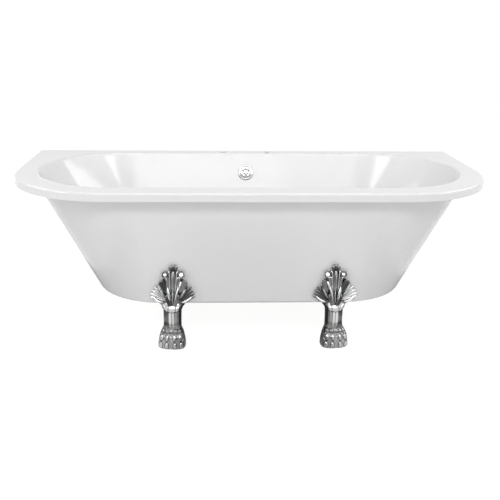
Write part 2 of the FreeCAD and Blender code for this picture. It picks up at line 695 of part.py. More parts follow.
def make_foot_shape(skirt_outside):
    """The left front foot in its own frame: the skirt's bottom edge over y = 0, outwards along -Y."""
    shelf_top = skirt_bottom.number
    shaft_x = size("foot_width").number / 2
    shaft_y = size("foot_depth").number / 2
    paw_x = size("paw_width").number / 2
    paw_y = size("paw_length").number / 2
    paw_top = size("paw_height").number
    sole = size("sole_height").number
    shaft_middle = size("shaft_setback").number
    paw_middle = size("paw_setback").number
    tip_radius = size("toe_tip_radius").number
    knuckle_radius = size("toe_knuckle_radius").number
    ankle_flare = size("ankle_flare").number
    ankle_z = (sole + paw_top) / 2
    heel_x = paw_x - tip_radius
    heel_y = paw_y - tip_radius
    heel_middle = paw_middle + tip_radius / 2
    core = Part.makeLoft([
        flat_ellipse(heel_x, heel_y, heel_middle, sole),
        flat_ellipse(heel_x, heel_y, heel_middle, ankle_z),
        flat_ellipse(shaft_x + ankle_flare, shaft_y + ankle_flare, (shaft_middle + paw_middle) / 2, paw_top),
        flat_ellipse(shaft_x, shaft_y, shaft_middle, (paw_top + shelf_top) / 2),
        flat_ellipse(shaft_x + ankle_flare, shaft_y, shaft_middle, shelf_top)], True, True)
    toes = []
    spread = (paw_x - tip_radius) / 3
    for step in (-3, -1, 1, 3):
        drawn_back = tip_radius if abs(step) > 1 else 0
        front = paw_middle - paw_y + tip_radius + drawn_back
        tip = FreeCAD.Vector(step * spread, front, sole + tip_radius)
        knuckle = FreeCAD.Vector(step * spread, front + knuckle_radius, ankle_z)
        toes.append(make_toe(knuckle, tip, knuckle_radius, tip_radius))
    casting = core.multiFuse(toes + [make_crest()])
    casting.rotate(FreeCAD.Vector(), FreeCAD.Vector(0, 0, 1), -size("foot_splay").number)
    room = skirt_outside.copy()
    room.translate(FreeCAD.Vector(
        foot_x.number, -skirt_bottom_front.number - size("crest_clearance").number, 0))
    casting = casting.cut(room)
    shelf = Part.makeBox(
        size("shelf_width").number, size("shelf_length").number, size("shelf_thickness").number,
        FreeCAD.Vector(-size("shelf_width").number / 2, 0, shelf_top - size("shelf_thickness").number))
    middle = FreeCAD.Vector(0, paw_middle, 0)
    screw_hole = size("screw_radius").number + size("screw_clearance").number
    hole_top = size("pad_height").number + size("screw_length").number + size("screw_hole_spare").number
    cuts = [Part.makeCylinder(size("recess_radius").number, size("recess_height").number, middle),
            Part.makeCylinder(screw_hole, hole_top, middle)]
    for side in (-1, 1):
        spot = FreeCAD.Vector(side * bolt_x.number, size("bolt_setback").number, 0)
        cuts.append(Part.makeCylinder(bolt_hole.number, shelf_top * 2, spot))
    return casting.fuse(shelf).cut(cuts).removeSplitter()


CORNERS = {"front_left": (-1, 1), "front_right": (1, 1), "rear_left": (-1, -1), "rear_right": (1, -1)}


def make_feet(skirt_outside):
    """Two feet of each hand: a rear foot is the front foot of the other side, turned round."""
    left = make_foot_shape(skirt_outside)
    right = left.mirror(FreeCAD.Vector(), X_AXIS)
    feet = []
    for corner, (side, row) in CORNERS.items():
        foot = doc.addObject("Part::Feature", f"foot_{corner}")
        foot.Label = f"foot_{corner}"
        foot.Shape = (left if side * row < 0 else right).copy()
        turn_round = FreeCAD.Rotation(FreeCAD.Vector(0, 0, 1), 0 if row > 0 else 180)
        foot.Placement = FreeCAD.Placement(
            FreeCAD.Vector(side * foot_x.number, row * skirt_bottom_front.number, 0), turn_round)
        feet.append(foot)
    return feet


def make_foot_fixings():
    """Bolts up through shelf and board, with a washer under each head and each nut."""
    head = size("bolt_head_height")
    washer = size("washer_thickness")
    under_shelf = skirt_bottom - size("shelf_thickness")
    seat = under_shelf - washer
    shank = board_top + washer + size("nut_height") + size("bolt_spare_thread") - seat
    bolt = new_body("bolt_master")
    head_sketch = new_sketch(bolt, "XY_Plane")
    draw_polygon(head_sketch, hexagon_corners(size("hexagon_flats")))
    pad(bolt, head_sketch, head)
    shank_sketch = new_sketch(bolt, "XY_Plane")
    draw_circle(shank_sketch, (ZERO, ZERO), size("bolt_radius"))
    pad(bolt, shank_sketch, head + shank)
    nut = new_body("nut_master")
    nut_sketch = new_sketch(nut, "XY_Plane")
    draw_polygon(nut_sketch, hexagon_corners(size("hexagon_flats")))
    draw_circle(nut_sketch, (ZERO, ZERO), bolt_hole)
    pad(nut, nut_sketch, size("nut_height"))
    disc = turned("washer_master", ring_corners(bolt_hole, size("washer_radius"), ZERO, washer))
    bolts = group("foot_bolts", bolt, [(x, y, seat - head) for x, y in bolt_places])
    washers = group("foot_washers", disc,
                    [(x, y, z) for x, y in bolt_places for z in (seat, board_top)])
    nuts = group("foot_nuts", nut, [(x, y, board_top + washer) for x, y in bolt_places])
    return [bolts, washers, nuts]


def make_rear_spacers():
    """Plates that make up the thickness of the skirt's flange over the rear feet."""
    plate = new_body("spacer_master")
    sketch = new_sketch(plate, "XY_Plane")
    half = size("shelf_width") / 2
    reach = board_back + bolt_y
    draw_rectangle(sketch, -half, half, -reach, reach)
    for x in (-bolt_x, bolt_x):
        draw_circle(sketch, (x, ZERO), bolt_hole)
    pad(plate, sketch, skirt_wall)
    return [group("rear_spacers", plate, [(foot_x * side, -bolt_y, skirt_bottom) for side in (-1, 1)])]


def make_levellers():
    """A screw with its pad in the sole of each foot, and a lock nut up in the recess."""
    pad_top = size("pad_height")
    collar_top = pad_top + size("screw_collar_height")
    screw_top = pad_top + size("screw_length")
    radius = size("screw_radius")
    pieces = []
    lock_places = []
    for corner, (side, row) in CORNERS.items():
        x = foot_x * side
        y = (skirt_bottom_front + size("paw_setback")) * row
        screw = turned(f"leveller_{corner}", [
            (ZERO, pad_top), (size("screw_collar_radius"), pad_top),
            (size("screw_collar_radius"), collar_top), (radius, collar_top),
            (radius, screw_top), (ZERO, screw_top)])
        sole = turned(f"leveller_pad_{corner}", [
            (ZERO, ZERO), (size("pad_radius"), ZERO), (size("pad_radius"), pad_top / 2),
            (size("pad_radius") - pad_top / 2, pad_top), (ZERO, pad_top)])
        for piece in (screw, sole):
            place(piece, x, y, ZERO)
            pieces.append(piece)
        lock_places.append((x, y, size("recess_height") - size("lock_nut_height")))
    nut = new_body("lock_nut_master")
    sketch = new_sketch(nut, "XY_Plane")
    draw_polygon(sketch, hexagon_corners(size("lock_nut_flats")))
    draw_circle(sketch, (ZERO, ZERO), radius + size("screw_clearance"))
    pad(nut, sketch, size("lock_nut_height"))
    return pieces + [group("leveller_nuts", nut, lock_places)]


# Overflow: rose, screw, gasket and elbow on an axis square to the basin's rear wall

overflow_z = rim_top - size("overflow_drop")
overflow_y = basin_back - side_run * size("overflow_drop") / basin_depth
overflow_turn = as_size(90) - side_slope
wall_normal = shell_wall * cosine(side_slope)
flange_face = -(wall_normal + size("gasket_thickness"))
cup_front = flange_face - size("elbow_flange")
cup_back = cup_front - size("elbow_cup_depth")
stub_height = cup_front - size("elbow_cup_depth") / 2


def place_overflow(body):
    place(body, ZERO, overflow_y, overflow_z, X_AXIS, overflow_turn)
    return body


def make_rose():
    body = new_body("overflow_rose")
    radius = size("rose_radius")
    height = size("rose_height")
    wall = size("rose_wall")
    shoulder = radius - height / 2
    turn(body, "PartDesign::Revolution", [
        (radius - wall, ZERO), (radius, ZERO), (radius, height / 2), (shoulder, height),
        (size("rose_screw_radius") + size("rose_screw_clearance"), height),
        (size("rose_screw_radius") + size("rose_screw_clearance"), height - wall),
        (shoulder - wall / 2, height - wall), (radius - wall, height / 2 - wall / 2)])
    hole = new_sketch(body, "XY_Plane", height)
    draw_circle(hole, (ZERO, size("rose_hole_circle")), size("rose_hole_radius"))
    cut = pocket(body, hole, wall * 2)
    ring = body.newObject("PartDesign::PolarPattern", "rose_holes")
    ring.Originals = [cut]
    ring.Axis = (hole, ["N_Axis"])
    ring.Angle = 360
    ring.setExpression("Occurrences", size("rose_hole_count").formula)
    body.Tip = ring
    return place_overflow(body)


def make_overflow():
    radius = size("rose_screw_radius")
    head = size("rose_screw_head_radius")
    head_seat = size("rose_height")
    head_top = head_seat + size("rose_screw_head_height")
    screw_end = cup_back + size("elbow_wall") * 2
    screw = turned("overflow_screw", [
        (ZERO, screw_end), (radius, screw_end), (radius, head_seat), (head, head_seat),
        (size("rose_screw_face_radius"), head_top), (ZERO, head_top)])
    gasket = turned("overflow_gasket", ring_corners(
        size("overflow_hole_radius"), size("rose_radius"), flange_face, -wall_normal))

    elbow = new_body("overflow_elbow")
    outer = size("elbow_radius")
    inner = outer - size("elbow_wall")
    turn(elbow, "PartDesign::Revolution", [
        (ZERO, cup_back), (outer, cup_back), (outer, cup_front), (size("rose_radius"), cup_front),
        (size("rose_radius"), flange_face), (ZERO, flange_face)])
    stub = new_sketch(elbow, "XZ_Plane")
    draw_circle(stub, (ZERO, stub_height), size("hose_radius"))
    pad(elbow, stub, size("elbow_stub_length"))
    boss = size("elbow_boss_radius")
    bore = radius + size("rose_screw_clearance")
    turn(elbow, "PartDesign::Groove", ring_corners(
        boss, inner, cup_back + size("elbow_wall"), flange_face))
    turn(elbow, "PartDesign::Groove", ring_corners(ZERO, bore, screw_end - bore, flange_face))
    channel = new_sketch(elbow, "XZ_Plane", size("elbow_stub_length"))
    draw_circle(channel, (ZERO, stub_height), size("hose_bore"))
    pocket(elbow, channel, size("elbow_stub_length") - boss - size("elbow_wall") / 2)
    return [make_rose()] + [place_overflow(body) for body in (screw, gasket, elbow)]


# Hose: from the elbow down behind the basin and under the base board to the waste

hose_z = basin_floor - size("waste_inlet_drop")
hose_end_y = waste_y + size("waste_inlet_length")
stub_end_y = (overflow_y - size("elbow_stub_length") * sine(side_slope)
              - stub_height * cosine(side_slope))
stub_end_z = (overflow_z - size("elbow_stub_length") * cosine(side_slope)
              + stub_height * sine(side_slope))
hose_drop_y = stub_end_y - size("hose_lead") * sine(side_slope)
hose_drop_z = stub_end_z - size("hose_lead") * cosine(side_slope)


def rounded_path(points, radii):
    """Straight runs between points, with a tangent arc of the given radius at each inner point."""
    edges = []
    start = points[0]
    for before, corner, after, radius in zip(points, points[1:], points[2:], radii):
        arriving = (corner - before).normalize()
        leaving = (after - corner).normalize()
        turn_angle = arriving.getAngle(leaving)
        setback = radius * math.tan(turn_angle / 2)
        arc_start = corner - arriving * setback
        arc_end = corner + leaving * setback
        inwards = (leaving - arriving).normalize()
        middle = corner + inwards * (radius / math.cos(turn_angle / 2) - radius)
        edges.append(Part.LineSegment(start, arc_start).toShape())
        edges.append(Part.Arc(arc_start, middle, arc_end).toShape())
        start = arc_end
    edges.append(Part.LineSegment(start, points[-1]).toShape())
    return Part.Wire(edges)


def make_hose():
    points = [FreeCAD.Vector(0, stub_end_y.number, stub_end_z.number),
              FreeCAD.Vector(0, hose_drop_y.number, hose_drop_z.number),
              FreeCAD.Vector(0, hose_drop_y.number, hose_z.number),
              FreeCAD.Vector(0, hose_end_y.number, hose_z.number)]
    path = rounded_path(points, [size("hose_ease_radius").number, size("hose_bend_radius").number])
    start_direction = points[1] - points[0]
    tubes = []
    for radius in (size("hose_radius").number, size("hose_bore").number):
        ring = Part.Wire([Part.makeCircle(radius, points[0], start_direction)])
        tubes.append(path.makePipeShell([ring], True, False))
    hose = doc.addObject("Part::Feature", "overflow_hose")
    hose.Label = "overflow_hose"
    hose.Shape = tubes[0].cut(tubes[1])
    section = math.pi * (size("hose_radius").number ** 2 - size("hose_bore").number ** 2)
    print("hose volume over section times length", round(hose.Shape.Volume / (section * path.Length), 4))

    bore = size("hose_radius") + size("union_clearance")
    half = size("union_length") / 2
    nut = turned("union_master", ring_corners(bore, size("union_radius"), -half, half))
    doc.recompute()
    nuts = []
    for spot, direction in ((points[0], start_direction), (points[-1], FreeCAD.Vector(0, 1, 0))):
        copy = nut.Shape.copy()
        copy.Placement = FreeCAD.Placement(spot, FreeCAD.Rotation(FreeCAD.Vector(0, 0, 1), direction))
        nuts.append(copy)
    unions = doc.addObject("Part::Feature", "hose_nuts")
    unions.Label = "hose_nuts"
    unions.Shape = Part.makeCompound(nuts)
    return [hose, unions]


# Waste: flange and gasket in the basin, seal and body below, and the push plug

def place_waste(body):
    place(body, ZERO, waste_y, basin_floor)
    return body


def make_waste():
    gasket_top = size("flange_gasket_thickness")
    flange_top = gasket_top + size("flange_height")
    sleeve = size("sleeve_radius")
    bore = sleeve - size("sleeve_wall")
    sleeve_end = -size("sleeve_length")
    gasket = turned("waste_gasket", ring_corners(
        size("waste_hole_radius"), size("flange_radius") - gasket_top, ZERO, gasket_top))

    flange = new_body("waste_flange")
    turn(flange, "PartDesign::Revolution", [
        (bore, sleeve_end), (sleeve, sleeve_end), (sleeve, gasket_top),
        (size("flange_radius"), gasket_top), (size("flange_radius"), gasket_top + size("flange_height") / 2),
        (size("flange_radius") - size("flange_height"), flange_top), (bore, flange_top)])
    bridge = new_sketch(flange, "XY_Plane", sleeve_end)
    half = size("bridge_width") / 2
    draw_rectangle(bridge, -(bore + size("sleeve_wall") / 2), bore + size("sleeve_wall") / 2, -half, half)
    pad(flange, bridge, size("bridge_height"))
    hub = new_sketch(flange, "XY_Plane", sleeve_end)
    draw_circle(hub, (ZERO, ZERO), size("bridge_hub_radius"))
    pad(flange, hub, size("bridge_height"))
    stem_hole = new_sketch(flange, "XY_Plane", sleeve_end)
    draw_circle(stem_hole, (ZERO, ZERO), size("stem_radius") + size("stem_clearance"))
    pocket(flange, stem_hole, size("bridge_height") * 2, upwards=True)

    seal_bottom = -(shell_wall + size("waste_seal_thickness"))
    seal = turned("waste_seal", ring_corners(
        size("waste_hole_radius"), size("waste_flange_radius"), seal_bottom, -shell_wall))

    body = new_body("waste_body")
    inner = sleeve + size("sleeve_clearance")
    outer = inner + size("waste_wall")
    flange_bottom = seal_bottom - size("waste_flange_thickness")
    cup_bottom = -size("waste_body_drop")
    tail_bottom = cup_bottom - size("tail_length")
    turn(body, "PartDesign::Revolution", [
        (ZERO, tail_bottom), (size("tail_radius"), tail_bottom), (size("tail_radius"), cup_bottom),
        (outer, cup_bottom), (outer, flange_bottom), (size("waste_flange_radius"), flange_bottom),
        (size("waste_flange_radius"), seal_bottom), (ZERO, seal_bottom)])
    inlet = new_sketch(body, "XZ_Plane")
    draw_circle(inlet, (ZERO, -size("waste_inlet_drop")), size("hose_radius"))
    pad(body, inlet, size("waste_inlet_length"), downwards=True)
    turn(body, "PartDesign::Groove", [
        (ZERO, tail_bottom), (size("tail_bore"), tail_bottom),
        (size("tail_bore"), cup_bottom + size("waste_wall")), (inner, cup_bottom + size("waste_wall")),
        (inner, seal_bottom), (ZERO, seal_bottom)])
    inlet_bore = new_sketch(body, "XZ_Plane", -size("waste_inlet_length"))
    draw_circle(inlet_bore, (ZERO, -size("waste_inlet_drop")), size("hose_bore"))
    pocket(body, inlet_bore, size("waste_inlet_length"), upwards=True)

    seal_top = flange_top + size("plug_seal_thickness")
    cap_edge = seal_top + size("plug_edge_height")
    plug_seal = turned("plug_seal", ring_corners(
        size("plug_seal_radius") - size("plug_seal_width"), size("plug_seal_radius"), flange_top, seal_top))
    cap = turned("plug_cap", [
        (ZERO, seal_top), (size("plug_radius"), seal_top), (size("plug_radius"), cap_edge),
        (size("plug_radius") / 2, cap_edge + size("plug_shoulder_rise")),
        (ZERO, cap_edge + size("plug_crown"))])
    stem = turned("plug_stem", [
        (ZERO, seal_top - size("stem_length")), (size("stem_radius"), seal_top - size("stem_length")),
        (size("stem_radius"), seal_top), (ZERO, seal_top)])
    return [place_waste(piece) for piece in (gasket, flange, seal, body, plug_seal, cap, stem)]


def make_bath():
    skirt, skirt_outside = make_skirt()
    pieces = [make_shell(), skirt] + make_base_boards() + make_rim_battens()
    pieces += make_feet(skirt_outside) + make_foot_fixings() + make_rear_spacers() + make_levellers()
    pieces += make_overflow() + make_hose() + make_waste()
    return pieces


def write_parts(pieces):
    """Stop if anything failed, then write each piece to its own file."""
    doc.recompute()
    failed = [item.Label for item in doc.Objects if "Invalid" in item.State or "Error" in item.State]
    for piece in pieces:
        if piece.Shape.isNull() or not piece.Shape.isValid():
            failed.append(piece.Label)
    if failed:
        raise RuntimeError("failed: " + ", ".join(failed))
    os.makedirs("parts", exist_ok=True)
    for piece in pieces:
        piece.Shape.exportStep(f"parts/{piece.Label}.step")
        print(piece.Label, len(piece.Shape.Solids), round(piece.Shape.Volume))


write_parts(make_bath())
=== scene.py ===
import json

import bmesh
import bpy
import numpy as np
from mathutils import Matrix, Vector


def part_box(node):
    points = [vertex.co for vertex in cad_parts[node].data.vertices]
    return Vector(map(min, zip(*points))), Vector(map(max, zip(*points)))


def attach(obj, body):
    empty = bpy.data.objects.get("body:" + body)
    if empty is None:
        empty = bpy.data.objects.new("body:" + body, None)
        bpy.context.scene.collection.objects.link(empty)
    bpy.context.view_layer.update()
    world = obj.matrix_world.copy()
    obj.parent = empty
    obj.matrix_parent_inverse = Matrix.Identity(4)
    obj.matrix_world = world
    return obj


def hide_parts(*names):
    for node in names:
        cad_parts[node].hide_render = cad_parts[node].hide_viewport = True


# A white back-to-wall bath on polished claw feet.
# Metres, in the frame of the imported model: X along the wall, Y towards the wall, Z up from the floor.

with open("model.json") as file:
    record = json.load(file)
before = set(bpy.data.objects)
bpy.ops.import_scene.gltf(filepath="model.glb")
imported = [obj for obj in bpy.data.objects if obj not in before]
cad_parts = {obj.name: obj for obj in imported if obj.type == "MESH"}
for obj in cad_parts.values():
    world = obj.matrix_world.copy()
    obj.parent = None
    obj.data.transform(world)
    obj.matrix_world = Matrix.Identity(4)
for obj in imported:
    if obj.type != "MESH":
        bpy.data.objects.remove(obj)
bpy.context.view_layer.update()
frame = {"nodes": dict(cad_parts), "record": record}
nodes = frame["nodes"]
MM = 0.001


# Arithmetic on whole arrays

def smooth_step(low, high, value):
    """An easy S-shaped step: nought at low and before it, one at high and beyond. Low may be the larger."""
    share = np.clip((value - low) / (high - low), 0, 1)
    return share * share * (3 - 2 * share)


def ridge(distance, width):
    """A rounded bump of height one that fades out over the width on both sides of nought."""
    return np.exp(-(distance / width) ** 2)


def eased(places, values, wanted):
    """A smooth curve through the values at the places: cubic pieces whose slopes agree where they meet."""
    places = np.asarray(places, float)
    values = np.asarray(values, float)
    slopes = np.gradient(values, places)
    piece = np.clip(np.searchsorted(places, wanted, side="right") - 1, 0, len(places) - 2)
    step = places[piece + 1] - places[piece]
    share = (wanted - places[piece]) / step
    rise = values[piece + 1] - values[piece]
    lead = share * (1 - share) ** 2 * slopes[piece] * step
    trail = share ** 2 * (share - 1) * slopes[piece + 1] * step
    return values[piece] + rise * share ** 2 * (3 - 2 * share) + lead + trail


def profile(pairs, wanted):
    """The smooth curve through pairs of a place and its value."""
    return eased(*zip(*pairs), wanted)


def full_turn(count):
    """Evenly spaced angles once round."""
    return np.linspace(0, 2 * np.pi, count, endpoint=False)


def unit(vectors):
    """The same directions with length one."""
    return vectors / np.linalg.norm(vectors, axis=-1, keepdims=True)


# Meshes from closed rings

def ring_faces(stations, around):
    """A quad for each step along and around a tube of closed rings, and a ladder of quads over each end."""
    ids = np.arange(stations * around).reshape(stations, around)
    turned = np.roll(ids, -1, axis=1)
    wall = np.stack([ids[:-1], turned[:-1], turned[1:], ids[1:]], axis=-1).reshape(-1, 4)
    there = ids[[0, -1], :around // 2]
    back = ids[[0, -1], ::-1][:, :around // 2]
    ends = np.stack([there[:, :-1], there[:, 1:], back[:, 1:], back[:, :-1]], axis=-1).reshape(-1, 4)
    return np.concatenate([wall, ends])


def new_piece(name, forms):
    """One mesh out of several closed tubes.

    A form is its rings of points and how dark each point is painted: painted shade in hollows and painted
    dark reflections.
    """
    faces = []
    start = 0
    for points, _ in forms:
        faces += (ring_faces(*points.shape[:2]) + start).tolist()
        start += points.shape[0] * points.shape[1]
    places = np.concatenate([points.reshape(-1, 3) for points, _ in forms])
    painted_darks = np.concatenate([depth.ravel() for _, depth in forms])
    mesh = bpy.data.meshes.new(name)
    mesh.from_pydata(places.tolist(), [], faces)
    shaped = bmesh.new()
    shaped.from_mesh(mesh)
    bmesh.ops.recalc_face_normals(shaped, faces=shaped.faces)
    shaped.to_mesh(mesh)
    shaped.free()
    # Painted shade and dark reflections of each point, which the chrome's colour follows
    painted_shade_and_reflection = mesh.attributes.new("painted_shade_and_reflection", "FLOAT", "POINT")
    painted_shade_and_reflection.data.foreach_set("value", painted_darks.astype(np.float32))
    mesh.shade_smooth()
    piece = bpy.data.objects.new(name, mesh)
    bpy.context.scene.collection.objects.link(piece)
    return piece


# Claw foot, in its own frame: the skirt's bottom edge over y = 0, outwards along -Y, millimetres.
# The outer side of the foot lies below x = 0.

SKIRT_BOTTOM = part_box("outer_skirt")[0].z / MM
SKIRT_RUN = 51
SKIRT_RISE = 406
SKIRT_LEAN = np.arctan2(SKIRT_RUN, SKIRT_RISE)
SOLE = 4
PAW_TOP = 66
LEG_TOP = SKIRT_BOTTOM + 18
PAW_REACH = 8
FOOT_SPLAY = np.radians(6)
PAD_RECESS_RADIUS = 24
PAD_RECESS_TOP = 24
CREST_CLEARANCE = 0.5
CREST_TILT = 0.03
SHELF = {"width": 84, "front_width": 60, "length": 75, "thickness": 10, "corner": 6}
SHELF_AROUND = 64

# Levels of the leg: height, with half width, half depth, middle or squareness there
LEG_HALF_WIDTH = ((SOLE, 45.5), (8, 47), (16, 47), (30, 46), (42, 43.5), (54, 40.5), (60, 38.5), (65, 36),
                  (69, 33.5), (74, 31.5), (82, 31), (110, 31), (128, 31.4), (140, 32.6), (147, 35), (153, 40),
                  (158, 45), (164, 50), (171, 53))
LEG_HALF_DEPTH = ((SOLE, 31), (8, 33.5), (22, 34.5), (40, 34.5), (50, 33), (58, 29.5), (64, 25.5), (70, 22.5),
                  (78, 21), (136, 21), (146, 19.5), (156, 14), (171, 9))
LEG_MIDDLE = ((SOLE, -PAW_REACH), (50, -PAW_REACH), (58, -6.5), (64, -3.5), (70, -0.5), (78, 1.5), (110, 2),
              (153, 2), (171, 1))
LEG_SQUARENESS = ((SOLE, 2.5), (56, 2.5), (78, 2.35), (110, 2.3), (153, 2.3), (171, 2.3))

# Toes: middles and half width as shares of the paw's half width, and how far they stand out by height
TOE_MIDDLES = (0.29, 0.71)
TOE_HALF_SHARE = 0.21
TOE_FULLNESS = ((SOLE, 3.5), (8, 4.8), (18, 5.2), (31, 3.8), (42, 4.6), (53, 5.4), (60, 3.0), (PAW_TOP, 0))
TOES_END = (PAW_TOP, 57)

# Ovals on a toe: height and half height of each, and half widths as shares of the toe's
KNUCKLE = (46, 12.5)
NAIL = (18, 13.5)
OVAL_HALF_SHARE = 0.8
GROOVE_PLACE = 0.88
GROOVE_WIDTH = 0.24
GROOVE_DEPTH = 1.4
BUTTON_HALF_SHARE = 0.34
BUTTON_HALF_HEIGHT = 9.5
BUTTON_FLATNESS = 1.4
BUTTON_RELIEF = 0.5

# Tufts of hair above the toes: heights between which they start and end
TUFTS_PER_HALF = 2.6
TUFT_START = (52, 57)
TUFT_END = (76, 68)
TUFT_POINT = 8
TUFT_RELIEF = 2.4
TUFT_SHADE_END = (80, 70)

# Painted dark reflection over the paw, waving like fine hair: everywhere, by how much it waves, and how much
# more above the knuckles, where the paw faces up to the lamps
PAW_PAINTED_DARK = 0.52
PAW_DARK_WAVE = 0.2
PAW_TOP_PAINTED_DARK = 0.28
PAW_TOP_DARK_START = (44, 52)

# Front of the shaft: panel between reeds, and tongues measured down from the skirt's bottom edge
SHAFT_START = (PAW_TOP - 2, PAW_TOP + 8)
PANEL_HALF = 11
PANEL_RELIEF = 1.8
BEAD_RELIEF = 0.5
REED_PITCH = 4.4
REED_RELIEF = 0.6
TONGUE_BOTTOM = 23
TONGUE_TOP = 3
TONGUE_FLARE = 2.4
SIDE_TONGUE_RISE = 8
# Across, where the painted dark reflection on the inner edge starts and where it is full
INNER_PAINTED_DARK_EDGE = (21, 25)

# Mesh of the leg: rings, points in a ring and how far they crowd to the front
PAW_RINGS = 130
SHAFT_RINGS = 110
LEG_AROUND = 224
FRONT_CROWDING = 0.45
# How squarely the surface faces outwards where the relief starts and where it is full
RELIEF_FACING = (0.05, 0.45)
# Painted dark reflection over the sides of the leg, away from its front
LEG_SIDE_PAINTED_DARK = 0.95


def toes(share, z):
    """Relief of the paw's front, with its painted shade and painted dark reflections.

    Four toes lie side by side. An oval groove with a round button inside marks each knuckle and each nail,
    and pointed tufts of hair stand above them.
    """
    middle = np.sign(share) * np.where(np.abs(share) < np.mean(TOE_MIDDLES), *TOE_MIDDLES)
    offset = (share - middle) / TOE_HALF_SHARE
    rounded = np.sqrt(np.clip(1 - offset ** 2, 0, 1))
    fullness = profile(TOE_FULLNESS, np.minimum(z, PAW_TOP))
    across = (offset / BUTTON_HALF_SHARE) ** 2
    grooves = 0
    buttons = 0
    inside = 0
    for height, half_height in (KNUCKLE, NAIL):
        away = np.hypot(offset / OVAL_HALF_SHARE, (z - height) / half_height)
        grooves = grooves + ridge(away - GROOVE_PLACE, GROOVE_WIDTH)
        buttons = buttons + np.clip(BUTTON_FLATNESS - across - ((z - height) / BUTTON_HALF_HEIGHT) ** 2, 0, 1)
        inside = inside + smooth_step(0.75, 0.5, away)
    shown = smooth_step(*TOES_END, z)
    tuft = np.abs(np.cos(np.pi * TUFTS_PER_HALF * share)) ** 0.8
    tufts = smooth_step(*TUFT_START, z) * smooth_step(*TUFT_END, z + TUFT_POINT * (1 - tuft))
    relief = fullness * (0.4 + 0.6 * rounded) - GROOVE_DEPTH * grooves + BUTTON_RELIEF * buttons
    relief = relief * shown + TUFT_RELIEF * tuft * tufts
    waves = PAW_DARK_WAVE * np.sin(share * 41 + z * 0.5) * np.sin(z * 0.9 - share * 17)
    # Painted dark reflection over the whole paw, waving, and more above the knuckles
    hair = PAW_PAINTED_DARK + waves + PAW_TOP_PAINTED_DARK * smooth_step(*PAW_TOP_DARK_START, z)
    # Painted shade in the grooves and the painted dark reflection, lighter inside the ovals
    toe_dark = np.clip(np.maximum(grooves, hair) * (1 - 0.4 * inside), 0, 1) * shown
    # Painted shade over the tufts, more between them
    tuft_dark = (1 - shown) * smooth_step(*TUFT_SHADE_END, z) * np.clip(0.6 + 0.4 * (1 - tuft), 0, 1)
    return relief, toe_dark + tuft_dark


def shaft_front(x, z):
    """Relief of the shaft's front, with its painted shade and painted dark reflections.

    A raised middle panel of two flat beads runs between fine reeds, with painted dark reflections on the
    outer side of the foot and a painted dark edge on the inner side. Three tongues hang over its top: they
    flare outwards to their lower edges, and a cove sinks in above the middle one.
    """
    side = np.abs(x)
    below = SKIRT_BOTTOM - z
    panel = smooth_step(PANEL_HALF + 0.6, PANEL_HALF - 0.6, side)
    bead = np.clip(1.25 * np.abs(np.sin(np.pi * x / PANEL_HALF)), 0, 1) ** 0.5
    reed = np.abs(np.sin(np.pi * (side - PANEL_HALF) / REED_PITCH)) ** 0.7
    plain = panel * (PANEL_RELIEF + BEAD_RELIEF * bead) + (1 - panel) * REED_RELIEF * reed

    # Tongues
    in_middle = side < PANEL_HALF + 1
    edge = TONGUE_BOTTOM - np.where(in_middle, 0.02 * x ** 2, 0.5 * (side - PANEL_HALF))
    top = np.where(in_middle, TONGUE_TOP, TONGUE_TOP - SIDE_TONGUE_RISE)
    over = smooth_step(-0.5, 0.7, edge - below)
    flare = np.clip((below - top) / (edge - top), 0, 1)
    seam = ridge(side - PANEL_HALF - 1, 1.6)
    tongue = PANEL_RELIEF + TONGUE_FLARE * flare - PANEL_RELIEF * seam
    cove = smooth_step(top + 1, top - 3, below) * smooth_step(PANEL_HALF + 3, PANEL_HALF, side)

    # Painted shade at the beads' edges, in the reeds, seams and cove and under the tongues' edges, and
    # painted dark reflections on the outer side, the instep and the inner edge
    # Painted dark reflection on the outer side of the foot
    dull = np.where(x < 0, 0.8, 0.1)
    grooves = panel * 0.8 * (1 - bead) + (1 - panel) * (dull + 0.4 * (1 - reed)) + 0.03 * panel
    under_edge = ridge(below - edge - 1.4, 1.3)
    instep = 0.8 * ridge(z - PAW_TOP - 11, 10)
    dark = (1 - over) * grooves + under_edge + instep + over * (0.3 + 0.5 * seam + 0.6 * cove)
    dark = np.clip(dark + smooth_step(*INNER_PAINTED_DARK_EDGE, x), 0, 1)

    started = smooth_step(*SHAFT_START, z)
    return started * (plain * (1 - over) + tongue * over), started * dark


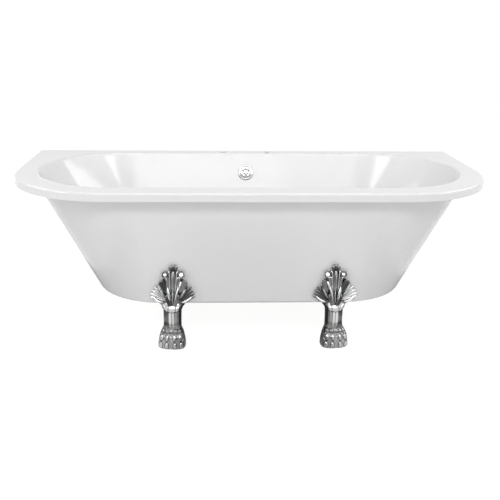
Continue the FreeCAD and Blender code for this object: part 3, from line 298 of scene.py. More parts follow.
def leg():
    """Paw and shaft as one surface over height and angle.

    Each level is a squared-off ellipse with its own half width, half depth and middle, with more points on
    the front. The relief of the toes and of the shaft's front is added along the level's own normal. Above
    the skirt's bottom edge the front falls back and the sides run out into the crest.
    """
    paw_levels = np.linspace(SOLE, PAW_TOP + 10, PAW_RINGS)
    shaft_levels = np.linspace(PAW_TOP + 10.7, LEG_TOP, SHAFT_RINGS)
    turn = full_turn(LEG_AROUND)
    angles = turn - FRONT_CROWDING * np.cos(turn)
    z, angle = np.meshgrid(np.concatenate([paw_levels, shaft_levels]), angles, indexing="ij")
    half_width = profile(LEG_HALF_WIDTH, z)
    half_depth = profile(LEG_HALF_DEPTH, z)
    squareness = profile(LEG_SQUARENESS, z)
    across = np.abs(np.cos(angle)) / half_width
    along = np.abs(np.sin(angle)) / half_depth
    reach = (across ** squareness + along ** squareness) ** (-1 / squareness)
    x = reach * np.cos(angle)
    y = reach * np.sin(angle)
    normal_x = np.sign(x) * np.abs(x / half_width) ** (squareness - 1) / half_width
    normal_y = np.sign(y) * np.abs(y / half_depth) ** (squareness - 1) / half_depth
    length = np.hypot(normal_x, normal_y)
    normal_x = normal_x / length
    normal_y = normal_y / length
    front = smooth_step(*RELIEF_FACING, -normal_y)
    paw, paw_dark = toes(x / half_width, z)
    shaft, shaft_dark = shaft_front(x, z)
    relief = front * (paw + shaft)
    points = np.stack([x + relief * normal_x, y + profile(LEG_MIDDLE, z) + relief * normal_y, z], axis=-1)
    # The front carries the painted shade and dark reflections of toes and shaft, the sides a painted dark
    # reflection
    painted_shade_and_reflection = front * np.clip(paw_dark + shaft_dark, 0, 1) + LEG_SIDE_PAINTED_DARK * (1 - front)

    # Recess in the sole for the pad of the levelling screw: its roof and its edge
    rim_x = PAD_RECESS_RADIUS * np.cos(angles)
    rim_y = PAD_RECESS_RADIUS * np.sin(angles) - PAW_REACH
    rims = [np.stack([rim_x, rim_y, 0 * angles + height], axis=-1) for height in (PAD_RECESS_TOP, SOLE)]
    points = np.concatenate([rims, points])
    # The pad's hollow is painted fully dark, as painted shade
    painted_shade_and_reflection = np.concatenate([np.ones((2, len(angles))), painted_shade_and_reflection])
    return points, painted_shade_and_reflection


def on_crest(points):
    """Crest coordinates to the foot's own frame, leaning a little inwards.

    They are across, up the skirt and out from it.
    """
    across, up, out = np.moveaxis(points, -1, 0)
    return np.stack([across + CREST_TILT * up,
                     -up * np.sin(SKIRT_LEAN) - out * np.cos(SKIRT_LEAN),
                     SKIRT_BOTTOM + up * np.cos(SKIRT_LEAN) - out * np.sin(SKIRT_LEAN)], axis=-1)


# Meshes of the crest: stations along leaf, ray of a fan, scroll and boss, and points around or across them
LEAF_STATIONS = 30
LEAF_AROUND = 32
FAN_STATIONS = 24
POINTS_PER_LOBE = 10
SCROLL_STATIONS = 48
SCROLL_AROUND = 16
BOSS_STATIONS = 12
BOSS_AROUND = 20


def blade(start, bend, tip, width, thickness, swell, taper, hollow, rib=0.0, tilt=0.0, base=0.0, dull=0.0):
    """A cast leaf: a section carried along the curve from start to tip that bends towards bend.

    Its half width goes up with the share of the way to the power swell, and down to the tip with the rest of
    the way to the power taper, and is at least base at the start. Across, the face is a plateau with rounded
    edges, hollowed in the middle (crowned where hollow is below nought) and with a midrib. Tilt turns the
    leaf on its spine, and dimmer darkens its whole face with painted dark reflection. The hollow and the
    midrib's sides carry painted shade, and the underside is painted fully dark.
    """
    stations = np.linspace(0.004, 0.996, LEAF_STATIONS)[:, None]
    start, bend, tip = (np.asarray(place, float) for place in (start, bend, tip))
    spine = (1 - stations) ** 2 * start + 2 * stations * (1 - stations) * bend + stations ** 2 * tip
    heading = unit(2 * (1 - stations) * (bend - start) + 2 * stations * (tip - bend))
    level = unit(np.cross(heading, [0, 0, 1]))
    raised = np.cross(level, heading)
    turned = np.radians(tilt)
    side = level * np.cos(turned) + raised * np.sin(turned)
    out = raised * np.cos(turned) - level * np.sin(turned)
    peak = swell / (swell + taper)
    growth = (stations / peak) ** swell * ((1 - stations) / (1 - peak)) ** taper
    growth = np.maximum(growth, base * (1 - stations))
    angles = full_turn(LEAF_AROUND)
    across = np.cos(angles)
    lift = np.sin(angles)
    face = np.abs(lift) ** 0.4 * (1 - hollow * (1 - across ** 2)) + rib * ridge(across, 0.17)
    height = thickness * np.where(lift >= 0, face, 0.8 * lift)
    points = spine[:, None] + width * (growth * across)[..., None] * side[:, None]
    points = points + (growth ** 0.5 * height)[..., None] * out[:, None]
    # Painted shade in the hollow and beside the midrib
    valley = max(hollow, 0) * (1 - np.abs(across)) + (rib > 0) * 0.7 * ridge(np.abs(across) - 0.38, 0.14)
    # Painted dark reflection by dimmer, and the underside painted fully dark
    depth = np.clip(np.where(lift > 0, np.maximum(valley, dull), 1), 0, 1)
    return on_crest(points), np.broadcast_to(depth, points.shape[:2]).copy()


def fan_leaf(foot, hand, rays, reach, lobes, tooth, thickness, lift, curl, dull):
    """A leaf like an open fan: rays run from its foot to a toothed edge, with a round fold for each lobe.

    The rays turn evenly from the first angle to the last, and their lengths follow a smooth curve, cut back
    between lobes to pointed teeth. The face rises by lift along a ray and curls out at its end, hand mirrors
    the leaf, and dimmer darkens it with painted dark reflection.
    """
    share = np.linspace(0, 1, POINTS_PER_LOBE * lobes + 1)
    way = np.linspace(0.06, 1, FAN_STATIONS)[:, None]
    fold = np.abs(np.sin(np.pi * lobes * share))
    angle = np.radians(rays[0] + (rays[1] - rays[0]) * share)
    notch = np.abs(2 * (lobes * share % 1) - 1)
    run = way * (eased(np.linspace(0, 1, len(reach)), reach, share) * (1 - tooth * notch))
    body = (1 - 0.98 * way ** 5) ** 0.5
    middle = foot[2] + lift * way + curl * way ** 3
    face = middle + thickness * (0.25 + 0.75 * fold ** 0.6) * body
    behind = middle - thickness * body + 0 * fold
    across = foot[0] + hand * run * np.cos(angle)
    up = foot[1] + run * np.sin(angle)
    front = np.stack([across, up, face], axis=-1)
    back = np.stack([across, up, behind], axis=-1)[:, ::-1]
    # Painted shade along the folds' valleys and a painted dark band halfway out, at least as dark as dimmer;
    # the back is painted fully dark
    shade = np.maximum(0.65 * (1 - fold ** 0.5), dull + 0.35 * ridge(way - 0.5, 0.28))
    return on_crest(np.concatenate([front, back], axis=1)), np.concatenate([shade, 0 * shade + 1], axis=1)


# Scroll on each side: middle (across, up and out), turns, and radius and bar with their loss inwards
SCROLL = (27.5, 117, 11)
SCROLL_TURNS = (-0.55, 0.55)
SCROLL_RADIUS = 9.8
SCROLL_RADIUS_LOSS = 0.8
SCROLL_BAR = 2.8
SCROLL_BAR_LOSS = 0.5
SCROLL_BAR_STRETCH = 1.3
SCROLL_RISE = 1.5
# Painted dark reflection over the whole scroll
SCROLL_PAINTED_DARK = 0.92


def ring_curl(side):
    """A scroll beside the top petal: a round bar wound once about its eye, growing thinner as it winds in."""
    across, up, out = SCROLL
    turn = np.linspace(*SCROLL_TURNS, SCROLL_STATIONS)[:, None] * 2 * np.pi
    wound = (turn - turn[0]) / (turn[-1] - turn[0])
    radius = SCROLL_RADIUS - SCROLL_RADIUS_LOSS * wound
    bar = SCROLL_BAR - SCROLL_BAR_LOSS * wound
    angles = full_turn(SCROLL_AROUND)
    away = radius + bar * np.cos(angles)
    points = np.stack([side * (across + away * np.sin(turn)), up - away * np.cos(turn),
                       out + SCROLL_RISE * wound + SCROLL_BAR_STRETCH * bar * np.sin(angles)], axis=-1)
    return on_crest(points), np.full(points.shape[:2], SCROLL_PAINTED_DARK)


def boss(across, up, out, radius, height, lean=0.0):
    """A domed button: half an egg whose rings shrink as the cosine of the way up and rise as its sine.

    Lean is the slope by which its face turns upwards.
    """
    way = np.linspace(0.02, 0.98, BOSS_STATIONS)[:, None] * np.pi / 2
    angles = full_turn(BOSS_AROUND)
    above = radius * np.cos(way) * np.sin(angles)
    points = np.stack([across + radius * np.cos(way) * np.cos(angles), up + above,
                       out + height * np.sin(way) - lean * above], axis=-1)
    # Painted shade round the button's foot, fading out up its side
    return on_crest(points), np.broadcast_to(np.clip(1 - 3 * np.sin(way), 0, 1), points.shape[:2]).copy()


# Outline of the web behind the leaves: height up the skirt and half width
WEB_OUTLINE = ((2, 42), (12, 51), (24, 58), (36, 62), (46, 58), (60, 48), (72, 42), (90, 40), (100, 34),
               (112, 22), (126, 14), (140, 13), (150, 8))
# Out from the skirt: its edge, and how far its front and back bulge from there
WEB_EDGE = 4.5
WEB_FRONT = 4.5
WEB_BACK = 4
WEB_RINGS = 60
WEB_AROUND = 36
# Painted shade over the web behind the leaves
WEB_PAINTED_SHADE = 0.85


def crest_back():
    """The web behind the leaves: at each height a flat lens whose half width follows the crest's outline."""
    up = np.linspace(WEB_OUTLINE[0][0], WEB_OUTLINE[-1][0], WEB_RINGS)[:, None]
    angles = full_turn(WEB_AROUND)
    front = np.clip(np.sin(angles), 0, 1)
    behind = np.clip(np.sin(angles), -1, 0)
    points = np.stack([profile(WEB_OUTLINE, up) * np.cos(angles), up + 0 * angles,
                       WEB_EDGE + WEB_FRONT * front + WEB_BACK * behind + 0 * up], axis=-1)
    return on_crest(points), np.full(points.shape[:2], WEB_PAINTED_SHADE)


def crest_side(side):
    """What stands on one side of the stem: side is -1 on the outer side of the foot and 1 on the inner.

    The plating carries painted dark reflections of different strength: the outer side has bright fans and
    dark leaves.
    """
    outer = side < 0

    def leaf(start, bend, tip, width, thickness, tilt=0, **shape):
        """A blade that is mirrored for the outer side."""
        spine = [(side * across, up, out) for across, up, out in (start, bend, tip)]
        return blade(*spine, width, thickness, tilt=side * tilt, **shape)

    forms = [
        # Rib beside the stem, and the bead at its top
        leaf((9, 50, 9), (10, 92, 12), (13, 128, 11), 3.4, 5.0, swell=0.25, taper=0.3, hollow=-0.4, base=0.8),
        boss(side * 13.5, 127, 7, 4.4, 7.5),
        # Scroll with its eye, its root and its tip
        ring_curl(side),
        boss(side * SCROLL[0], SCROLL[1], SCROLL[2], 5.8 if outer else 8.0, 1.2, lean=0.42),
        leaf((16, 88, 8), (21, 102, 11), (25, 109, 11), 3.6, 4.4, swell=0.4, taper=0.4, hollow=-0.3),
        leaf((34, 112, 7), (39, 119, 10), (42, 121, 11), 3.2, 3.6, swell=0.4, taper=0.6, hollow=-0.3),
        # Long leaves: one beside the rib, one under the scroll and a thin one along its edge
        leaf((9, 40, 8), (16, 76, 10), (18, 110, 15), 7.4, 4.6, swell=0.6, taper=0.4, hollow=0.3, tilt=-14,
             dull=0.82 if outer else 0.1),
        leaf((14, 36, 8), (29, 66, 11), (42, 97, 17), 10.5, 4.2, swell=0.5, taper=0.2, hollow=0.3, tilt=14,
             dull=0.85),
        leaf((30, 42, 9), (38, 68, 12), (49, 86, 16), 2.0, 3.6, swell=0.3, taper=0.5, hollow=-0.3),
        # Short bright leaf in front of them
        leaf((7, 24, 19), (15, 48, 19), (17, 72, 13), 5.4 if outer else 4.2, 5.0, swell=0.6, taper=0.7,
             hollow=-0.3, tilt=-12),
        # Side fan, with a ribbed leaf over it and a lobe under it
        fan_leaf((side * 15, 15, 7), side, (66, 11), (66, 75, 71, 70, 62), lobes=5, tooth=0.17, thickness=4.2,
                 lift=2.0, curl=2.0, dull=0.0 if outer else 0.8),
        leaf((14, 18, 10), (32, 40, 14), (44, 66, 15), 4.6, 4.4, swell=0.6, taper=0.7, hollow=-0.2, rib=0.4,
             tilt=-10, dull=0.4),
        leaf((27, 14, 8), (51, 12, 15), (64, 35, 10), 6.0, 5.0, swell=0.5, taper=0.5, hollow=-0.4, tilt=-12),
        # Broad leaf at the foot of the crest
        leaf((5, 1, 17), (16, 22, 21), (19, 46, 17), 9.0, 5.2, swell=0.5, taper=0.45, hollow=0.4, tilt=14,
             dull=0.85),
    ]
    if not outer:
        # Bright leaf over the long ones
        forms.append(leaf((19, 60, 18), (24, 76, 17), (28, 93, 11), 4.0, 4.2, swell=0.5, taper=0.5,
                          hollow=-0.2))
    return forms


def crest():
    """Leaf crest that lies against the skirt: stem, top petal and bud in the middle, and the two sides."""
    stem = blade((0, 52, 9), (0, 92, 14), (0, 132, 12), 6.0, 5.5, swell=0.2, taper=0.25, hollow=-0.35,
                 rib=0.2, base=0.9, dull=0.25)
    petal = fan_leaf((0, 112, 9), 1, (118, 62), (38, 44, 38), lobes=3, tooth=0.1, thickness=5.0, lift=3.0,
                     curl=0.5, dull=0.7)
    bud = blade((0, 4, 12), (0, 30, 19), (0, 60, 13), 4.0, 4.0, swell=0.6, taper=0.8, hollow=-0.3, rib=0.3)
    return [crest_back(), stem, petal, bud, *crest_side(-1), *crest_side(1)]


def shelf():
    """The mounting shelf behind the shaft: a round-cornered plate, narrower in front, through five levels."""
    half_width = SHELF["width"] / 2 - SHELF["corner"]
    front_half_width = SHELF["front_width"] / 2 - SHELF["corner"]
    half_length = SHELF["length"] / 2 - SHELF["corner"]
    angles = full_turn(SHELF_AROUND) + np.pi / SHELF_AROUND
    corner_x = np.where(np.sin(angles) < 0, front_half_width, half_width) * np.sign(np.cos(angles))
    corner_y = half_length * np.sign(np.sin(angles)) + SHELF["length"] / 2
    top = SKIRT_BOTTOM
    bottom = top - SHELF["thickness"]
    levels = np.array([bottom, bottom, bottom + 1, top - 1, top])
    inset = np.array([4, 1, 0, 0, 1])
    radius = (SHELF["corner"] - inset)[:, None]
    points = np.stack([corner_x + radius * np.cos(angles), corner_y + radius * np.sin(angles),
                       levels[:, None] + 0 * angles], axis=-1)
    # The shelf is painted fully dark, as painted shade behind the shaft
    return points, np.ones(points.shape[:2])


def splayed(points):
    """Turn the leg outwards about the upright through the foot's origin."""
    x, y, z = np.moveaxis(points, -1, 0)
    return np.stack([x * np.cos(FOOT_SPLAY) + y * np.sin(FOOT_SPLAY),
                     y * np.cos(FOOT_SPLAY) - x * np.sin(FOOT_SPLAY), z], axis=-1)


def pressed(points):
    """Whatever reaches into the skirt lies flat against it."""
    x, y, z = np.moveaxis(points, -1, 0)
    skirt_face = -(z - SKIRT_BOTTOM) * np.tan(SKIRT_LEAN) - CREST_CLEARANCE
    return np.stack([x, np.where(z > SKIRT_BOTTOM, np.minimum(y, skirt_face), y), z], axis=-1)


# Feet: -1 on the left and 1 on the right, and 1 in the front row and -1 in the rear one
CORNERS = {"front_left": (-1, 1), "front_right": (1, 1), "rear_left": (-1, -1), "rear_right": (1, -1)}


def make_feet(finish):
    """One casting, mirrored to the four corners and set over the pads of the levelling screws."""
    leg_points, leg_recess = leg()
    casting = [(pressed(splayed(leg_points)), leg_recess), shelf()]
    casting += [(pressed(points), depth) for points, depth in crest()]
    for corner, (side, row) in CORNERS.items():
        low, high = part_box(f"leveller_pad_{corner}")
        origin = np.array([(low.x + high.x) / 2, (low.y + high.y) / 2 + row * PAW_REACH * MM, 0])
        hand = np.array([-side, row, 1])
        forms = [(origin + points * hand * MM, depth) for points, depth in casting]
        foot = new_piece(f"claw_foot_{corner}", forms)
        foot.data.materials.append(finish)
        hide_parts(f"foot_{corner}")
        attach(foot, "bath")


# Overflow rose, in its own frame: across, up the basin's wall and out from it, millimetres

WALL_RUN = 97
WALL_RISE = 383
WALL_SLOPE = np.arctan2(WALL_RUN, WALL_RISE)
ROSE_RADIUS = 32
ROSE_HOLES = 6
ROSE_HOLE_CIRCLE = 13.3
ROSE_HOLE_RADIUS = 4.2
ROSE_HOLE_EDGE = 0.5
ROSE_HOLE_DEPTH = 4.5
ROSE_GROOVE = 23.5
ROSE_GROOVE_WIDTH = 3
ROSE_SCREW_RADIUS = 5
ROSE_RINGS = 150
ROSE_AROUND = 264
# Painted darkening of the dome's reflection, and how much more there is: painted shade in the holes, and
# painted dark reflections on the flange and on the screw
DOME_PAINTED_DARK = 0.12
HOLE_PAINTED_SHADE = 0.5
FLANGE_PAINTED_DARK = 0.36
SCREW_PAINTED_DARK = 0.3
# Half section: radius and height from the back edge over flange, groove and dome to the screw
ROSE_SECTION = ((30.5, 0), (ROSE_RADIUS, 0), (ROSE_RADIUS, 1.6), (31, 3.0), (28.5, 3.8), (25.5, 3.6),
                (ROSE_GROOVE, 3.4), (22, 4.2), (20.5, 5.4), (18.5, 6.2), (13, 6.7), (9, 7.0), (7, 8.2),
                (5.5, 9), (3, 9))


def rose():
    """The overflow cover over radius and angle: a rolled flange, a groove, and a dome with six sunk holes.

    The half section is a smooth curve through its corners, and inside a hole the surface drops by the hole's
    depth. The holes carry painted shade, and the flange and screw painted dark reflections, darker than the
    dome.
    """
    corners = np.arange(len(ROSE_SECTION))
    way = np.linspace(0, corners[-1], ROSE_RINGS)[:, None]
    radius, height = (eased(corners, column, way) for column in zip(*ROSE_SECTION))
    angles = full_turn(ROSE_AROUND)
    spacing = 2 * np.pi / ROSE_HOLES
    hole = np.round((angles - np.pi / 2) / spacing) * spacing + np.pi / 2
    across = radius * np.cos(angles)
    up = radius * np.sin(angles)
    from_hole = np.hypot(across - ROSE_HOLE_CIRCLE * np.cos(hole), up - ROSE_HOLE_CIRCLE * np.sin(hole))
    sunk = smooth_step(ROSE_HOLE_RADIUS + ROSE_HOLE_EDGE, ROSE_HOLE_RADIUS - ROSE_HOLE_EDGE, from_hole)
    points = np.stack([across, up, height - ROSE_HOLE_DEPTH * sunk], axis=-1)
    flange = smooth_step(ROSE_GROOVE - ROSE_GROOVE_WIDTH, ROSE_GROOVE, radius)
    screw = ridge(radius, ROSE_SCREW_RADIUS)
    # Painted shade and dark reflections of the rose
    dark = DOME_PAINTED_DARK + HOLE_PAINTED_SHADE * sunk + FLANGE_PAINTED_DARK * flange + SCREW_PAINTED_DARK * screw
    return points, np.clip(dark, 0, 1)


def make_rose(finish):
    """The rose square to the basin's sloping wall: its up leans back and its out points up into the basin."""
    points, depth = rose()
    across, up, out = np.moveaxis(points, -1, 0)
    low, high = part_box("overflow_rose")
    middle_y = high.y / MM - ROSE_RADIUS * np.sin(WALL_SLOPE)
    middle_z = (low.z + high.z) / 2 / MM
    placed = np.stack([across, middle_y + up * np.sin(WALL_SLOPE) - out * np.cos(WALL_SLOPE),
                       middle_z + up * np.cos(WALL_SLOPE) + out * np.sin(WALL_SLOPE)], axis=-1)
    piece = new_piece("domed_rose", [(placed * MM, depth)])
    piece.data.materials.append(finish)
    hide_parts("overflow_rose")
    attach(piece, "bath")


# Overflow hose, millimetres

HOSE_ROUTE = ((0, 312.9, 427.1), (0, 303, 388.3), (0, 303, 235), (0, 303, 115), (0, 170, 115))
HOSE_RADIUS = 14.8
HOSE_PITCH = 6.0
HOSE_RIB = 1.9
RINGS_PER_RIB = 8
HOSE_AROUND = 32


def route_line(route):
    """Points along a smooth spline that has the route's places as its control points."""
    curve = bpy.data.curves.new("route", "CURVE")
    curve.dimensions = "3D"
    spline = curve.splines.new("NURBS")
    spline.points.add(len(route) - 1)
    spline.points.foreach_set("co", np.column_stack([route, np.ones(len(route))]).ravel())
    spline.order_u = 3
    spline.use_endpoint_u = True
    spline.resolution_u = 40
    carrier = bpy.data.objects.new("route", curve)
    line = bpy.data.meshes.new_from_object(carrier)
    places = np.empty(3 * len(line.vertices), np.float32)
    line.vertices.foreach_get("co", places)
    bpy.data.objects.remove(carrier)
    bpy.data.curves.remove(curve)
    bpy.data.meshes.remove(line)
    return places.reshape(-1, 3).astype(float)


def make_hose(finish):
    """A ribbed hose: a circle carried along its route, with a radius that dips between ribs as a cosine."""
    line = route_line(HOSE_ROUTE)
    run = np.concatenate([[0], np.cumsum(np.linalg.norm(np.diff(line, axis=0), axis=1))])
    way = np.linspace(0, run[-1], int(RINGS_PER_RIB * run[-1] / HOSE_PITCH))
    middle = np.stack([np.interp(way, run, column) for column in line.T], axis=-1)
    heading = unit(np.gradient(middle, axis=0))
    side = np.array([1.0, 0, 0])
    over = np.cross(heading, side)
    dip = 0.5 - 0.5 * np.cos(2 * np.pi * way / HOSE_PITCH)
    radius = (HOSE_RADIUS - HOSE_RIB * dip)[:, None, None]
    angles = full_turn(HOSE_AROUND)[:, None]
    points = middle[:, None] + radius * (np.cos(angles) * side + np.sin(angles) * over[:, None])
    piece = new_piece("ribbed_hose", [(points * MM, np.zeros(points.shape[:2]))])
    piece.data.materials.append(finish)
    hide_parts("overflow_hose")
    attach(piece, "bath")


# Shader nodes and shared effects

def set_sockets(node, values):
    """Put values on a node's sockets by their labels."""
    for label, value in values.items():
        node.inputs[label].default_value = value


def add_node(tree, kind, **values):
    """A new node. Values go on its sockets, with an underscore in place of a blank in the label."""
    node = tree.nodes.new(kind)
    set_sockets(node, {label.replace("_", " "): value for label, value in values.items()})
    return node


def new_group(name, inputs, outputs):
    """A shader node group with named value inputs and outputs, and its two end nodes."""
    group = bpy.data.node_groups.new(name, "ShaderNodeTree")
    for label, value in inputs.items():
        socket = group.interface.new_socket(label, in_out="INPUT", socket_type="NodeSocketFloat")
        socket.default_value = value
    for label in outputs:
        group.interface.new_socket(label, in_out="OUTPUT", socket_type="NodeSocketFloat")
    return group, group.nodes.new("NodeGroupInput"), group.nodes.new("NodeGroupOutput")


def polish_group():
    """Fine unevenness of a polished surface: a slow ripple for the height and faint marks for the gloss."""
    group, start, end = new_group("polish_marks",
                                  {"Ripple Scale": 9.0, "Mark Scale": 60.0, "Low": 0.08, "High": 0.14},
                                  ["Height", "Roughness", "Mottle"])
    place = add_node(group, "ShaderNodeTexCoord")
    ripple = add_node(group, "ShaderNodeTexNoise", Detail=2)
    marks = add_node(group, "ShaderNodeTexNoise", Detail=5)
    spread = add_node(group, "ShaderNodeMapRange", From_Min=0.3, From_Max=0.7)
    link = group.links.new
    link(place.outputs["Object"], ripple.inputs["Vector"])
    link(place.outputs["Object"], marks.inputs["Vector"])
    link(start.outputs["Ripple Scale"], ripple.inputs["Scale"])
    link(start.outputs["Mark Scale"], marks.inputs["Scale"])
    link(marks.outputs["Fac"], spread.inputs["Value"])
    link(start.outputs["Low"], spread.inputs["To Min"])
    link(start.outputs["High"], spread.inputs["To Max"])
    link(ripple.outputs["Fac"], end.inputs["Height"])
    link(spread.outputs["Result"], end.inputs["Roughness"])
    link(marks.outputs["Fac"], end.inputs["Mottle"])
    return group


POLISH = polish_group()


def new_finish(name):
    """A material with its Principled shader."""
    material = bpy.data.materials.new(name)
    material.use_nodes = True
    return material, material.node_tree, material.node_tree.nodes["Principled BSDF"]


def add_polish(tree, shader, ripple, marks, low, high, height):
    """Place the polish group in a material: it drives the roughness and a bump of the given height."""
    polish = tree.nodes.new("ShaderNodeGroup")
    polish.node_tree = POLISH
    set_sockets(polish, {"Ripple Scale": ripple, "Mark Scale": marks, "Low": low, "High": high})
    bump = add_node(tree, "ShaderNodeBump", Distance=height)
    tree.links.new(polish.outputs["Height"], bump.inputs["Height"])
    tree.links.new(bump.outputs["Normal"], shader.inputs["Normal"])
    tree.links.new(polish.outputs["Roughness"], shader.inputs["Roughness"])
    return polish


def blend_colours(tree, shader, share, first, second):
    """Base Color goes from the first colour to the second with the share."""
    mix = tree.nodes.new("ShaderNodeMix")
    mix.data_type = "RGBA"
    set_sockets(mix, {"A": (*first, 1), "B": (*second, 1)})
    tree.links.new(share, mix.inputs["Factor"])
    tree.links.new(mix.outputs["Result"], shader.inputs["Base Color"])


# Finishes

def white_acrylic():
    """Glossy white sheet under a thin clear coat."""
    material, tree, shader = new_finish("white_acrylic")
    set_sockets(shader, {"IOR": 1.49, "Coat Weight": 0.3, "Coat Roughness": 0.04})
    polish = add_polish(tree, shader, ripple=3.0, marks=25.0, low=0.123, high=0.125, height=0.00003)
    blend_colours(tree, shader, polish.outputs["Mottle"], (0.85, 0.85, 0.852), (0.875, 0.875, 0.872))
    return material


def chrome(name, bright, dull):
    """Polished plating: bright on the heights, and darkened towards its dimmer colour by painted shade in the
    hollows of a casting and by painted dark reflections.
    """
    material, tree, shader = new_finish(name)
    set_sockets(shader, {"Metallic": 1.0})
    add_polish(tree, shader, ripple=90.0, marks=300.0, low=0.05, high=0.11, height=0.0001)
    # Painted shade and dark reflections carried by each point
    painted_shade_and_reflection = tree.nodes.new("ShaderNodeAttribute")
    painted_shade_and_reflection.attribute_name = "painted_shade_and_reflection"
    blend_colours(tree, shader, painted_shade_and_reflection.outputs["Fac"], bright, dull)
    return material


def plain_plastic(name, light, dark, low, high):
    """Moulded plastic or rubber with faint mottling, between two roughnesses."""
    material, tree, shader = new_finish(name)
    polish = add_polish(tree, shader, ripple=120.0, marks=220.0, low=low, high=high, height=0.0002)
    blend_colours(tree, shader, polish.outputs["Mottle"], dark, light)
    return material


GRAIN_STRETCH = 0.06


def timber(name, light, dark, grain):
    """Wood with its grain along X: noise stretched along it gives the figure and a slight relief."""
    material, tree, shader = new_finish(name)
    set_sockets(shader, {"Roughness": 0.62})
    place = add_node(tree, "ShaderNodeTexCoord")
    stretch = add_node(tree, "ShaderNodeMapping", Scale=(grain * GRAIN_STRETCH, grain, grain))
    figure = add_node(tree, "ShaderNodeTexNoise", Scale=1.0, Detail=6, Distortion=0.6)
    bump = add_node(tree, "ShaderNodeBump", Distance=0.0004)
    tree.links.new(place.outputs["Object"], stretch.inputs["Vector"])
    tree.links.new(stretch.outputs["Vector"], figure.inputs["Vector"])
    tree.links.new(figure.outputs["Fac"], bump.inputs["Height"])
    tree.links.new(bump.outputs["Normal"], shader.inputs["Normal"])
    blend_colours(tree, shader, figure.outputs["Fac"], dark, light)
    return material


def bare_metal(name, bright, dull, low, high):
    """Unpolished metal with faint mottling, between two roughnesses."""
    material, tree, shader = new_finish(name)
    set_sockets(shader, {"Metallic": 1.0})
    polish = add_polish(tree, shader, ripple=200.0, marks=450.0, low=low, high=high, height=0.0001)
    blend_colours(tree, shader, polish.outputs["Mottle"], dull, bright)
    return material


# Finish of each slot in the record: its kind, its light and dark colours, and what else the kind asks for
FINISHES = {
    # The chrome slots' dark colours are the painted shade and painted dark reflections
    "chrome_casting": (chrome, (0.75, 0.76, 0.76), (0.10, 0.10, 0.097)),
    "chrome_trim": (chrome, (0.74, 0.75, 0.76), (0.10, 0.10, 0.10)),
    "board": (timber, (0.62, 0.49, 0.34), (0.42, 0.31, 0.20), 60.0),
    "softwood": (timber, (0.76, 0.60, 0.40), (0.58, 0.42, 0.25), 120.0),
    "zinc_steel": (bare_metal, (0.70, 0.71, 0.73), (0.50, 0.51, 0.53), 0.22, 0.38),
    "brass_stem": (bare_metal, (0.76, 0.58, 0.28), (0.60, 0.44, 0.20), 0.18, 0.3),
    "pad_plastic": (plain_plastic, (0.05, 0.05, 0.05), (0.03, 0.03, 0.03), 0.45, 0.6),
    "spacer_plastic": (plain_plastic, (0.32, 0.32, 0.33), (0.26, 0.26, 0.27), 0.4, 0.55),
    "rubber_seal": (plain_plastic, (0.05, 0.05, 0.05), (0.025, 0.025, 0.025), 0.65, 0.85),
    "white_fitting": (plain_plastic, (0.80, 0.80, 0.78), (0.74, 0.74, 0.72), 0.28, 0.4),
    "grey_hose": (plain_plastic, (0.58, 0.59, 0.60), (0.50, 0.51, 0.52), 0.35, 0.5),
}


def paint_nodes():
    """A finish for every node of the frame, by its slot in the record."""
    finishes = {"white_acrylic": white_acrylic()}
    for slot, (kind, *facts) in FINISHES.items():
        finishes[slot] = kind(slot, *facts)
    for subpart in frame["record"]["subparts"]:
        node = nodes[subpart["node"]]
        node.data.materials.clear()
        node.data.materials.append(finishes[subpart["material_slot"]])
    return finishes


# Stage: white floor and surroundings, soft lights, and the camera

def new_stage_plane(name, half_x, half_y, height):
    """A level rectangle about the origin that belongs to the stage, and its material's empty node tree."""
    mesh = bpy.data.meshes.new(name)
    mesh.from_pydata([(-half_x, -half_y, height), (half_x, -half_y, height),
                      (half_x, half_y, height), (-half_x, half_y, height)], [], [[0, 1, 2, 3]])
    plane = bpy.data.objects.new(name, mesh)
    bpy.context.scene.collection.objects.link(plane)
    material = bpy.data.materials.new(name)
    material.use_nodes = True
    material.node_tree.nodes.clear()
    mesh.materials.append(material)
    return plane, material.node_tree


def grey(tone):
    """The colour of an even grey."""
    return tone, tone, tone, 1


def seen_directly(tree):
    """One for rays that see the white surroundings (camera, glossy, transmission), nought for the rest."""
    path = tree.nodes.new("ShaderNodeLightPath")
    seen = path.outputs["Is Camera Ray"]
    for kind in ("Is Glossy Ray", "Is Transmission Ray"):
        either = tree.nodes.new("ShaderNodeMath")
        either.operation = "MAXIMUM"
        tree.links.new(seen, either.inputs[0])
        tree.links.new(path.outputs[kind], either.inputs[1])
        seen = either.outputs[0]
    return seen


FLOOR_HALF = 30.0
# Tones of the floor for the light it throws back on the bath, and for the light that shows on it
FLOOR_BOUNCE = 0.6
FLOOR_SHADE = 0.22
# The floor's own white under the bath and far from it, and the distances between which it changes
FLOOR_NEAR_WHITE = 0.93
FLOOR_FAR_WHITE = 1.0
FLOOR_FADE = (1.6, 4.5)


